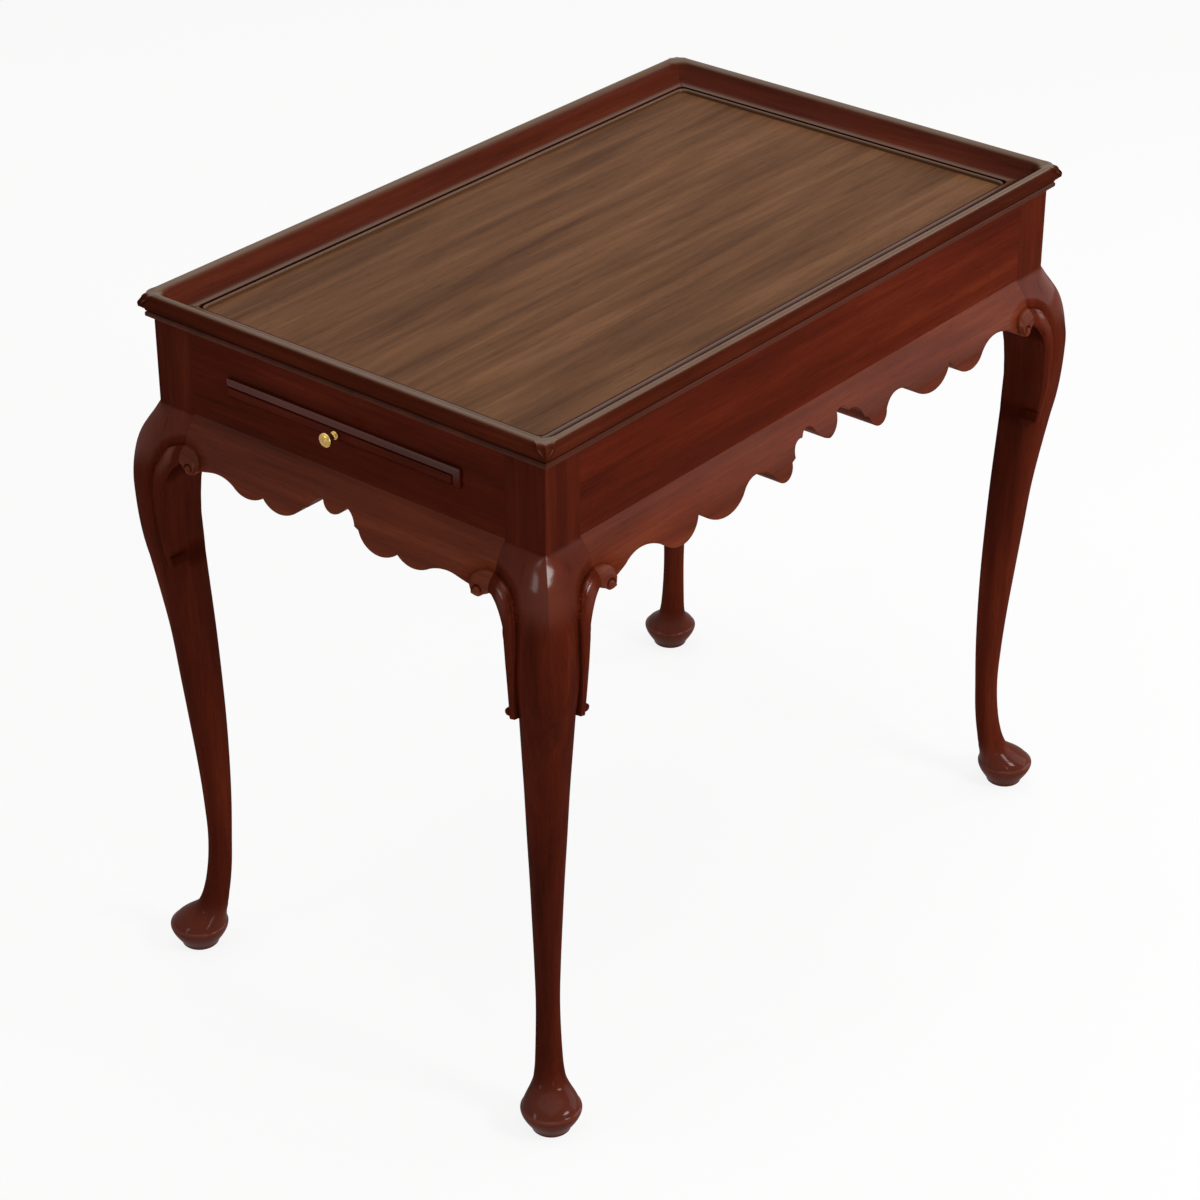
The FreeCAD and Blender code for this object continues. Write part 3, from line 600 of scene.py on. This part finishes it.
def carved_section(z):
    """Half of a rounded square section: heel, flank, band, front and outer corner, and its painted shade and
    sheen. a is the way out from the apron's corner, t the way in along the face, and the second way out is
    -t."""
    upper = z > SCROLL_Z
    out, inner, flank, heel, cut = leg_sizes(z)
    reach = cut * (CORNER_REACH + KNEE_REACH * step(KNEE_FROM, 548, z))
    start = inner - flank
    guide = np.where(upper, np.interp(z, *GUIDE.T), start + flank * math.sin(SPLIT))
    above = z - SCROLL_Z
    roll = ROLL_OUT * hump((above - ROLL_HALF) / ROLL_HALF) - NICK_IN * hump((above - NICK_UP) / NICK_HALF)
    roll = upper * roll
    edge = inner + roll

    turn = np.pi * (1 + 0.25 * np.linspace(1, 2, HEEL)[None, :])
    heel_a, heel_b = (heel - inner + heel * wave(turn) for wave in (np.cos, np.sin))
    turn = np.pi / 2 + (SPLIT - np.pi / 2) * count_up(BAND)
    band_t = np.where(upper, edge + (guide - edge) * count_up(BAND), start + flank * np.sin(turn))
    front_t = guide + (reach - out - guide) * count_up(FRONT)
    corner_t = reach - out - (reach - cut) * count_up(CORNER)
    t = np.concatenate([edge, band_t, front_t, corner_t], 1)

    carving, dirt, on = scroll_relief(t, z)
    shown = upper * under_apron(z)
    ease = np.concatenate([np.ones(1 + BAND + FRONT), (1 - count_up(CORNER)[0]) ** 2])
    carving, dirt, on = carving * shown * ease, dirt * shown * ease, on * upper
    blunt = 1 - step(SCROLL_Z + 2, KNEE_Z + 2, z)
    drop = flank - np.sqrt(np.maximum(flank ** 2 - np.maximum(t - start, 0) ** 2, 0))
    bow = cut * np.clip((reach - out - t) / (reach - cut), 0, 1) ** 3
    a = out - bow - blunt * drop * (1 - on) + carving

    flank_end = np.where(upper, a[:, :1], out - flank)
    flank_a = heel - inner + (flank_end - heel + inner) * count_up(FLANK)
    flank_b = -inner - roll * step(out - 20, out - 13, flank_a)
    # worn and shade: painted shade less painted sheen on the carved faces, painted shade on heel and flank
    worn, shade = leg_painted_light(z, t, (inner + guide) / 2, dirt, on)
    one_way = np.concatenate([heel_a, flank_a, a[:, 1:]], 1)
    other_way = np.concatenate([heel_b, flank_b, -t[:, 1:]], 1)
    return one_way, other_way, np.concatenate([shade, worn[:, 1:]], 1)


print("half a section has", HEEL + FLANK + BAND + FRONT + CORNER, "points")

# %% [markdown]
# ## The four legs
# The ankle and the pad are turned, so there the section is pulled to a circle about its own middle. Even
# rows would need many more points, so rows crowd where the knee's arch, the scroll's roll and the pad's
# ridge turn fast. One leg is enough: the others are mirrored.

# %% Leg pieces
ROUND_FADE = 60


def leg_section(z):
    """The carved section, made round about the diagonal from the ankle down: middle plus radius along it."""
    z = z[:, None]
    a, b, dirt = carved_section(z)
    e, w = (a + b) / ROOT, (a - b) / ROOT
    high, low, across = shank(z)
    angle = np.arctan2(w / across, (e - (high + low) / 2) / (high - low))
    radius, middle = (through(z, PAD[:, 0], PAD[:, k]) for k in (1, 2))
    foot = z < PAD[-1, 0]
    centre = np.where(foot, middle, (high + low) / 2)
    square = step(ANKLE_Z, ANKLE_Z + ROUND_FADE, z)
    e = e * square + (1 - square) * (centre + np.where(foot, radius, (high - low) / 2) * np.cos(angle))
    w = w * square + (1 - square) * np.where(foot, radius, across / 2) * np.sin(angle)
    return (e + w) / ROOT, (e - w) / ROOT, dirt


def both_halves(half, mirrored):
    """A closed ring: one half's columns, then the other's backwards without the two that they share."""
    return np.concatenate([half, mirrored[:, -2:0:-1]], 1)


heights = np.concatenate([
    [0, 0.4, 0.8], np.linspace(1.5, 22, 20), np.linspace(22.4, 46, 44), np.linspace(48, 118, 30),
    np.linspace(124, 424, 44), [427, 429, 429.95, 430.05], np.linspace(430.6, 446, 30),
    np.linspace(447.5, 526, 46), np.linspace(526.6, 566, 88), np.linspace(567.2, 581.9, 14),
    [APRON_LOW, APRON_TOP]])
half_a, half_b, half_dirt = leg_section(heights)
leg_a, leg_b = both_halves(half_a, half_b), both_halves(half_b, half_a)
leg_dirt = both_halves(half_dirt, half_dirt)
rows, cols = leg_a.shape
leg_z = np.broadcast_to(heights[:, None], leg_a.shape)
leg_faces = ring_cells(rows, cols)
leg_faces += [list(range(cols)), list(range((rows - 1) * cols, rows * cols))]
for side, sy in (("front", -1), ("back", 1)):
    for end, sx in (("left", -1), ("right", 1)):
        shape = np.stack([sx * (HALF_LENGTH + leg_a), sy * (HALF_WIDTH + leg_b), leg_z], -1)
        make_piece(f"cabriole_leg_{side}_{end}", shape, leg_faces, LEG, f"leg_{side}_{end}",
                   shade_and_sheen_at_points=leg_dirt, sharp=28)

# %% [markdown]
# ## Four sides
# Skirts and rims go round the table, so each is worked out once as a length that looks along +Y and is then
# turned by quarters. Turning the objects would be less work, but the grain would turn with them, so the
# points are turned instead.

# %% Lengths round the table
# side, half its length, how far out its face lies, and quarter turns from +Y
SIDES = [("back", HALF_LENGTH, HALF_WIDTH, 0), ("front", HALF_LENGTH, HALF_WIDTH, 2),
         ("left", HALF_WIDTH, HALF_LENGTH, 1), ("right", HALF_WIDTH, HALF_LENGTH, 3)]


def quarter_turned(shape, quarters):
    """Points turned about the upright axis: x cos less y sin, and x sin plus y cos."""
    c, s = math.cos(quarters * math.pi / 2), math.sin(quarters * math.pi / 2)
    x, y = shape[..., 0], shape[..., 1]
    return np.stack([c * x - s * y, s * x + c * y, shape[..., 2]], -1)


def length_faces(rows, cols):
    """Cells of a length whose last row joins the first, and its two closed ends."""
    cells = np.array(ring_cells(cols, rows))
    cells = (cells % rows) * cols + cells // rows
    ring = np.arange(rows) * cols
    return cells.tolist() + [ring.tolist(), (ring + cols - 1).tolist()]


print("sides", [side for side, *_ in SIDES])

# %% [markdown]
# ## Scalloped skirts
# Under each apron hangs a skirt that flares out to meet the knees and is fretted along its lower edge. A
# boolean cut would leave ragged faces, so each column of the grid starts at a point of the scalloped line
# and rises to the apron: the front bulges by the knee's arc plus the scroll's carving, the sawn underside
# runs straight back.

# %% Scalloped lines
# a lower edge from the middle out: its start, then arcs as middle and end, straight runs as end alone
LONG_EDGE = [
    (0, 549), [(10.5, 553.6), (18.5, 564.5)], [(27, 566.4), (33.5, 562.6)], [(35, 561.2)],
    [(44, 560.2), (51.6, 549.4)], [(57.2, 547.4)], [(69.6, 535.4), (84.1, 545)], [(103, 554.8), (126, 547)],
    [(158, 537), (187.5, 552)], [(214, 535.6), (238, 544)], [(266, 552.6), (286, 547.5)], [(302.3, 539.8)]]
END_EDGE = [
    (0, 551.4), [(7.5, 553.6), (13.5, 560.5)], [(21, 556.5), (26.7, 549)], [(31.6, 547.4)],
    [(54, 534), (77.5, 541)], [(95, 535.5), (113, 540.5)], [(133, 545), (146, 543)], [(157.9, 539.8)]]
UNDER_CURL = [(63.06, 539.8), (60, 536.4), (54, 535), (48, 538.6), (POST, 541)]
SCROLL_REACH, FINE_GAP, PLAIN_GAP, SAME_PLACE = 100, 0.55, 1.1, 0.02


def scallop_line(edge, half):
    """Half a skirt's lower edge: arcs through three points, straight between two, then under the curl."""
    start, *stretches = edge
    line = []
    for *middle, end in stretches:
        gap = FINE_GAP if half - end[0] < SCROLL_REACH else PLAIN_GAP
        count = max(4, int(abs(end[0] - start[0]) / gap))
        line.append(arc(start, *middle, end, count) if middle else np.linspace(start, end, count))
        start = end
    curl = curve(UNDER_CURL, 60)
    line.append(np.stack([half - curl[:, 0], curl[:, 1]], 1))
    line = np.concatenate(line)
    keep = np.concatenate([[True], np.linalg.norm(np.diff(line, axis=0), axis=1) > SAME_PLACE])
    return line[keep]


print("long edge", len(scallop_line(LONG_EDGE, HALF_LENGTH)), "points from the middle to the leg")

# %% Skirt pieces
SKIRT_THICK, SKIRT_ROWS, SCROLL_FADE, EASED_IN, EASED_UP = 30.0, 64, 84, 0.5, 1.2


def skirt_shape(edge, half, face):
    """Grid of a skirt that looks along +Y: rows go up the front, back over the top and down, columns go
    along its edge. The front is the face plus the knee's arc and the carving, less an eased edge."""
    right = scallop_line(edge, half)
    line = np.concatenate([right[:0:-1] * (-1, 1), right])
    x, low = line[None, :, 0], line[None, :, 1]
    z = low + (APRON_LOW - low) * np.linspace(0, 1, SKIRT_ROWS)[:, None]
    t = half - np.abs(x)
    near = t[0] < SCROLL_REACH
    high, dirt = np.zeros_like(z), np.zeros_like(z)
    # painted shade of the scroll's hollows on the skirt's front
    high[:, near], dirt[:, near], _ = scroll_relief(np.broadcast_to(t, z.shape)[:, near], z[:, near])
    shown = step(SCROLL_REACH, SCROLL_FADE, t) * under_apron(z)
    front = knee_out(np.minimum(z, APRON_LOW - 0.001)) + high * shown
    front = front - EASED_IN * (1 - np.minimum(z - low, EASED_UP) / EASED_UP) ** 2
    back = np.full_like(low, -SKIRT_THICK)
    top = np.full_like(low, APRON_LOW)
    y = np.concatenate([front, np.zeros_like(low), back, back]) + face
    dirt = np.concatenate([dirt * shown, np.zeros((3, dirt.shape[1]))])
    return np.stack([np.broadcast_to(x, y.shape), y, np.concatenate([z, top, top, low])], -1), dirt


for name, half, face, quarters in SIDES:
    at_end = quarters % 2
    shape, dirt = skirt_shape(END_EDGE if at_end else LONG_EDGE, half, face)
    make_piece(f"scalloped_skirt_{name}", quarter_turned(shape, quarters), length_faces(*dirt.shape),
               SKIRT_Y if at_end else SKIRT_X, f"skirt_{name}", shade_and_sheen_at_points=dirt)

# %% [markdown]
# ## Tray moulding
# Four mitred lengths make the rim: a hollow outside, an upright edge that rounds over to the crest, and
# inside a broad cove down to a small bead. At the corners two flutes on each side of the mitre fan out from
# the panel's corner up to the crest, with a thin arris between them. A profile swept round a rectangle
# would give plain mitres, so each length is its profile carried along a straight path, and near the ends
# every point is cut back by its own flutes and rounding.

# %% Rim profile
# how far out the lip reaches and the crest stands, and how high the seat on the panel's edge is
LIP, CREST, SEAT_UP = 9.5, 4.4, 3.4


def rim_profile():
    """Closed section, out and up from the panel: seat, hollow, upright edge, crest, cove, bead and foot."""
    top = RIM_TOP - PANEL_TOP
    seat = [(1.3, 0), (1.3, SEAT_UP), (4.9, SEAT_UP), (5.1, SEAT_UP + 0.5)]
    hollow = arc((5.2, SEAT_UP + 0.9), (6.2, 6.3), (8.8, 7.3), 12)
    edge = arc((LIP - 0.3, 7.9), (LIP, 11.6), (LIP - 0.3, 15.4), 14)
    over = arc((LIP - 0.3, 15.5), (LIP - 1.7, 19.1), (CREST, top), 18)[1:]
    inside = arc((CREST - 1.2, top), (-0.2, top - 0.9), (-2.6, top - 3.4), 10)
    cove = arc((-2.8, top - 3.7), (-14.0, 8.0), (-26.6, 4.7), 30)
    quirk = [(-26.9, 3.0), (-27.7, 3.0)]
    bead = arc((-27.9, 3.9), (-29.2, 3.3), (-29.7, 1.9), 9)
    outside = len(seat) + len(hollow) + len(edge)
    return np.concatenate([seat, hollow, edge, over, inside, cove, quirk, bead, [(-29.7, 0)]]), outside


PROFILE, OUTSIDE = rim_profile()
print("rim profile", len(PROFILE), "points,", OUTSIDE, "of them outside")

# %% Rim pieces
FLUTE_SPAN, FLUTE_DEPTH, LEAST_SPAN, RIM_COLUMNS = 15.0, 0.13, 2.0, 57
# rounding of the lip's corner, what the crest adds, the bead's rounding, and where the cove's runs out
LIP_ROUND, CREST_ROUND, BEAD_ROUND, COVE_END = 8, 7, 7, 17.6
# painted shade in the quirk and where the quirk lies, the dark joint line along the mitre, painted shade on
# the face; painted sheen on the cove's foot and a painted glint on the flutes' arris
QUIRK_SHADE, QUIRK_AT, MITRE_DIRT, FACE_SHADE, COVE_FOOT_SHEEN, ARRIS_GLINT = 0.95, -27.2, 0.8, 0.24, 0.75, 1.1


def rim_painted_light(outer, rise, over, s, place, flute):
    """Painted shade less painted sheen: the largest of the quirk's painted shade, the mitre's dark joint line
    and the face's painted shade, less the painted sheen on the crest and the cove's foot and a painted glint
    on the arris between two flutes."""
    out, up = PROFILE.T[:, :, None]
    quirk = QUIRK_SHADE * (np.abs(out - QUIRK_AT) < 0.75) * (up < 4.75)
    mitre = MITRE_DIRT * np.exp(-(s / 0.35) ** 2) * step(-10, -16, out) * (up > 4.7)
    # painted shade: outer face darker toward its foot, inside darker below the crest and more in the cove
    inner_shade = FACE_SHADE * (1 - over) + 0.16 * step(0, -5, out)
    shade = np.where(outer, FACE_SHADE + 0.5 * (1 - rise) ** 3, inner_shade)
    # painted sheen, with a glossier coat, on the crest and the cove's foot
    painted_sheen_and_gloss = step(LIP - 0.8, LIP - 3.4, out) * step(-4.0, 0.5, out) * (up > 15)
    painted_sheen_and_gloss = np.maximum(painted_sheen_and_gloss, COVE_FOOT_SHEEN * step(-17, -25, out) * (quirk < 0.1))
    # painted shade in the flutes, none where painted sheen is
    shade = (shade + 0.2 * flute / (FLUTE_DEPTH * FLUTE_SPAN)) * (1 - painted_sheen_and_gloss)
    dirt = np.maximum(np.maximum(quirk, mitre), shade) - painted_sheen_and_gloss
    # a painted glint along the arris between two flutes
    return dirt - ARRIS_GLINT * np.exp(-((place - 0.5) / 0.06) ** 2) * outer * step(0.3, 0.8, rise)


def rim_shape(along, across):
    """A length that looks along +Y, from mitre to mitre. A point s from the corner is cut back by a round,
    whose centre is its radius inside both sides, and by two flutes, the size of a sine over their span."""
    out, up = PROFILE.T[:, :, None]
    outer = np.arange(len(out))[:, None] < OUTSIDE
    rise = np.clip((up - SEAT_UP - 0.6) / 13.0, 0, 1)
    over = step(LIP - 0.4, CREST, out) * ~outer
    span = np.where(outer, rise, 1 - step(CREST, -3, out)) * FLUTE_SPAN
    lip_round = LIP_ROUND * step(11.0, 17.0, up)
    inner_round = np.minimum(lip_round + CREST_ROUND * over, np.maximum(COVE_END + out, 0))
    round_off = np.where(outer, lip_round, inner_round) + BEAD_ROUND * step(-20, -28, out)
    first = round_off * (1 - math.sqrt(0.5))
    last = np.maximum(np.maximum(span, round_off), LEAST_SPAN)
    s = first + (last - first) * np.linspace(0, 1, RIM_COLUMNS)[None, :]
    left = np.clip(round_off - s, 0, None)
    cut = round_off - np.sqrt(np.maximum(round_off ** 2 - left ** 2, 0))
    place = (s - first) / np.maximum(span, 0.01)
    flute = FLUTE_DEPTH * span * np.abs(np.sin(2 * np.pi * place)) * (place < 1) * (1 - 0.75 * over)
    x, y = along + out - s, across + out - cut - flute
    dip = 0.7 * over * step(-6, 2, out) * np.exp(-((s - first) / 5) ** 2)
    z = np.broadcast_to(PANEL_TOP + up, x.shape) - dip
    dirt = rim_painted_light(outer, rise, over, s - first, place, flute)
    middle = [np.zeros_like(out), y[:, -1:], z[:, -1:], dirt[:, -1:]]
    halves = [np.concatenate([v, m], 1) for v, m in zip((x, y, z, dirt), middle)]
    whole = [np.concatenate([v, sign * v[:, -2::-1]], 1) for v, sign in zip(halves, (-1, 1, 1, 1))]
    return np.stack(whole[:3], -1), whole[3]


for name, along, across, quarters in SIDES:
    shape, dirt = rim_shape(along, across)
    make_piece(f"tray_rim_{name}", quarter_turned(shape, quarters), length_faces(*dirt.shape),
               RIM_Y if quarters % 2 else RIM_X, f"tray_moulding_{name}", shade_and_sheen_at_points=dirt, sharp=34)

# %% [markdown]
# ## Tray panel
# The panel is a thin board whose rounded edge shows under the rim. A box with a bevel would round all its
# edges alike, so one function draws nested rectangles, each inset and lifted as the edge's section says,
# and joins them. The edge takes the rim's finish, with a little of its painted sheen and a glossier coat.

# %% Nested rectangles and the panel
# the last share paints the panel's edge, which has the rim's finish, with a little painted sheen and a
# glossier coat
THUMB_IN, THUMB_UP, PANEL_SHEEN = 2.6, 3.0, -0.22


def nested(section, half_u, half_v):
    """Rectangles inset and lifted as the section's rows say, four corners each, as u, v and lift."""
    inset, lift = np.array(section, float).T
    su, sv = np.array([-1, 1, 1, -1]), np.array([-1, -1, 1, 1])
    u, v = su * (half_u - inset[:, None]), sv * (half_v - inset[:, None])
    return np.stack([u, v, np.broadcast_to(lift[:, None], u.shape)], -1)


def nested_faces(count):
    """Cells between each rectangle and the next, and the first and last rectangle as faces."""
    return ring_cells(count, 4) + [[0, 1, 2, 3], [4 * count - 4 + k for k in range(4)]]


low, high = (np.array(corner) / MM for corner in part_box("top_panel"))
flush = high[0] - HALF_LENGTH
edge_top = PANEL_TOP + SEAT_UP - 0.1
turn = np.linspace(0, np.pi / 2, 9)
thumb = np.stack([THUMB_IN * (1 - np.cos(turn)), edge_top - THUMB_UP * (1 - np.sin(turn))], 1).tolist()
edge = [(36, low[2]), (36, APRON_TOP), (flush, APRON_TOP), (flush, APRON_TOP + 2.4),
        (flush - 0.6, APRON_TOP + 2.9), (0.5, APRON_TOP + 3.0), (0.1, APRON_TOP + 3.5), *thumb,
        (4.0, edge_top), (4.0, PANEL_TOP), (20, PANEL_TOP)]
panel = make_piece("tray_panel", nested(edge, high[0], high[1]), nested_faces(len(edge)), TOP, "top_panel",
                   sharp=50, shade_and_sheen_at_points=np.full(4 * len(edge), PANEL_SHEEN))
panel.data.materials.append(RIM_X)
centre = np.zeros(3 * len(panel.data.polygons))
panel.data.polygons.foreach_get("center", centre)
at_edge = np.abs(centre.reshape(-1, 3)[:, :2]).sum(1) > 1e-4
panel.data.polygons.foreach_set("material_index", at_edge.astype(np.int32))
print("faces with the rim's finish", int(at_edge.sum()))

# %% [markdown]
# ## Slide fronts and knobs
# A slide front is a small moulded rail: a bevel, a fine groove and a flat field, mitred at its ends, made
# of nested rectangles as the panel is. The knob is turned, so its profile is spun about its axis. A Screw
# modifier would do the same, but the spun points are a few lines of numpy.

# %% Slide fronts and turned knobs
# inset and lift of the front's section
FRONT_SECTION = [
    (0.5, 0), (0, 0.5), (0, 2.2), (0.35, 2.6), (1.8, 4.1), (3.9, 5.9), (4.2, 6.1), (4.5, 5.9), (4.6, 5.3),
    (5.4, 5.3), (5.5, 6.9), (5.8, 7.25), (6.3, 7.3)]
# painted shade in the groove and a glossier coat on the bevel along that section, and the corners that have
# it:
# the upper two
BEVEL_SHADE_AND_GLOSS = np.array([0, 0, -0.3, -0.8, -0.8, -0.8, -0.6, 0.4, 0.7, 0.7, 0.3, 0, 0])[:, None]
UPPER_TWO = np.array([0, 0, 1, 1])
# way out from the front, and radius
KNOB = np.array([
    (0, 0), (0, 3.6), (0.6, 4.1), (1.6, 4.2), (2.6, 3.7), (3.4, 2.6), (4.6, 2.0), (7.6, 1.9), (9.4, 2.3),
    (10.4, 3.8), (11.0, 5.8), (11.7, 6.6), (12.6, 6.8), (13.4, 6.6), (14.2, 6.0), (15.0, 4.7), (15.6, 2.9),
    (15.9, 1.3), (16, 0)])
KNOB_RINGS, KNOB_ROUND = 60, 48


def spun_knob():
    """Way out, and the two ways across: the radius times the cosine and the sine of the turn."""
    share, knots = np.linspace(0, 1, KNOB_RINGS), np.linspace(0, 1, len(KNOB))
    out, radius = (through(share, knots, KNOB[:, k])[:, None] for k in (0, 1))
    radius = np.maximum(radius, 0)
    turn = np.linspace(0, 2 * np.pi, KNOB_ROUND, endpoint=False)[None, :]
    return np.broadcast_to(out, (KNOB_RINGS, KNOB_ROUND)), radius * np.cos(turn), radius * np.sin(turn)


for end, sx in (("left", -1), ("right", 1)):
    body = f"slide_{end}"
    low, high = (np.array(corner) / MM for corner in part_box(f"slide_front_{end}"))
    seat = low[0] if sx > 0 else high[0]
    mid_z = (low[2] + high[2]) / 2
    plate = nested(FRONT_SECTION, high[1], (high[2] - low[2]) / 2)
    shape = np.stack([seat + sx * plate[..., 2], plate[..., 0], mid_z + plate[..., 1]], -1)
    make_piece(f"moulded_front_{end}", shape, nested_faces(len(FRONT_SECTION)), SLIDE, f"slide_front_{end}",
               body=body, sharp=20, shade_and_sheen_at_points=BEVEL_SHADE_AND_GLOSS * UPPER_TWO)
    low, high = (np.array(corner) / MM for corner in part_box(f"slide_knob_{end}"))
    seat = low[0] if sx > 0 else high[0]
    out, u, v = spun_knob()
    shape = np.stack([seat + sx * out, u, mid_z + v], -1)
    make_piece(f"turned_knob_{end}", shape, ring_cells(KNOB_RINGS, KNOB_ROUND), BRASS, f"slide_knob_{end}",
               body=body, sharp=60)

# %% [markdown]
# ## Boards that keep their CAD shape
# Aprons, slide boards and the pieces inside the frame are plain boards, and their solids are already right.
# They could be drawn again, but nothing would be gained: they stay and only take a finish.

# %% Finish the carried-over boards
kept = {"apron_front": APRON_X, "apron_back": APRON_X, "apron_left": APRON_Y, "apron_right": APRON_Y,
        "slide_board_left": TOP, "slide_board_right": TOP}
for node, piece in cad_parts.items():
    if not piece.hide_render:
        piece.data.materials.clear()
        piece.data.materials.append(kept.get(node, INNER))
print("kept boards", sum(not p.hide_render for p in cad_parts.values()))

# %% [markdown]
# ## Floor
# The photograph has a white ground. Flooding the floor with light would bleach the table too, so the floor
# is mostly plain white to the camera and to reflections, and otherwise a pale lit surface that keeps the
# table's shadow.

# %% Floor
FLOOR_HALF, FLOOR_WHITE = 14, 0.86
WHITE = (1, 1, 1, 1)


def pale_floor():
    """Pale surface, mixed with plain white by a fixed share of where it is seen directly."""
    pale = Finish("pale_floor", Roughness=0.9, Specular_IOR_Level=0.1)
    place = pale.node("ShaderNodeTexCoord", output="Object")
    cloud = pale.node("ShaderNodeTexNoise", None, {"Vector": place, "Scale": 1.5, "Detail": 2.0})
    pale.surface(Base_Color=pale.mix(cloud, (0.80, 0.80, 0.80, 1), (0.84, 0.84, 0.84, 1)))
    glow = pale.node("ShaderNodeEmission", None, {"Color": WHITE, "Strength": 1.0})
    shaded = Value(pale, pale.shader.outputs[0])
    shares = {0: pale.seen_directly() * FLOOR_WHITE, 1: shaded, 2: glow}
    mixed = pale.node("ShaderNodeMixShader", None, shares)
    pale.feed(pale.tree.nodes["Material Output"].inputs["Surface"], mixed)
    return pale.material


corners = FLOOR_HALF * np.array([(-1, -1, 0), (1, -1, 0), (1, 1, 0), (-1, 1, 0)])
mesh = bpy.data.meshes.new("floor")
mesh.from_pydata(corners.tolist(), [], [(0, 1, 2, 3)])
mesh.materials.append(pale_floor())
floor = put_in_scene("floor", mesh)
floor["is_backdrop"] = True
print("floor", 2 * FLOOR_HALF, "m square")

# %% [markdown]
# ## Lamps and surroundings
# The light is soft and from above: a wide ceiling, a window and a curtain to the front, and two small panes
# for the glints on the knees. One sun would light as much, but its shadows would be hard. The surroundings
# are white to the camera and in reflections, and otherwise only a dim warm fill.

# %% Lamps and surroundings
def softbox(name, place, aim, size, power):
    """Area lamp at a place that faces its aim: tilt and turn are the angles of the way back from the aim."""
    lamp = bpy.data.lights.new(name, "AREA")
    lamp.shape, lamp.size, lamp.size_y, lamp.energy = "RECTANGLE", *size, power
    box = put_in_scene(name, lamp)
    back = np.array(place, float) - np.array(aim, float)
    box.location = place
    tilt = math.atan2(math.hypot(back[0], back[1]), back[2])
    box.rotation_euler = (tilt, 0, math.atan2(back[0], -back[1]))
    print("lamp", name, power, "W")


softbox("ceiling", (0.4, 0.6, 3.6), (0.4, 0.6, 0), (5.0, 5.0), 84)
softbox("window", (0.35, -2.5, 2.05), (0, 0, 0.5), (0.9, 0.6), 46)
softbox("curtain", (2.6, -1.6, 1.5), (0, 0, 0.5), (2.0, 2.0), 28)
softbox("left_pane", (-2.9, 0.9, 1.5), (0, 0, 0.5), (0.4, 0.7), 7)
softbox("front_pane", (-1.5, -2.6, 1.1), (0, 0, 0.4), (0.4, 0.6), 7)

world = bpy.data.worlds.new("studio")
world.use_nodes = True
sky = NodePage(world.node_tree)
fill = sky.tree.nodes["Background"]
sky.feed(fill.inputs["Color"], (1.0, 0.98, 0.94, 1))
sky.feed(fill.inputs["Strength"], 0.30)
white = sky.node("ShaderNodeBackground", None, {"Color": WHITE, "Strength": 1.0})
shares = {0: sky.seen_directly(), 1: Value(sky, fill.outputs[0]), 2: white}
sky.feed(sky.tree.nodes["World Output"].inputs["Surface"], sky.node("ShaderNodeMixShader", None, shares))
bpy.context.scene.world = world
bpy.context.scene.view_settings.view_transform = "Standard"

# %% [markdown]
# ## Camera
# The camera could be placed by eye, but here it stands where the photograph's perspective puts it: its
# place, tilt and turn were solved from the table's own corners.

# %% Camera
CAMERA_DOWN, CAMERA_TURN = 30.01, -50.67
lens = bpy.data.cameras.new("photo_camera")
lens.sensor_width, lens.lens = 36.0, 97.2
camera = put_in_scene("photo_camera", lens)
camera.location = (-2.0896, -1.6896, 1.8490)
camera.rotation_euler = (math.radians(90 - CAMERA_DOWN), 0, math.radians(CAMERA_TURN))
bpy.context.scene.camera = camera
print("camera", [round(v, 3) for v in camera.location], "looks down", CAMERA_DOWN, "degrees")

# %% [markdown]
# ## Size of the visual model
# The box round the visual model, the floor left out, is printed. The visual model may not outgrow the
# solids.

# %% Sizes and finish
low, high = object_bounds()
print("visual", [round(v, 4) for v in (*low, *high)])
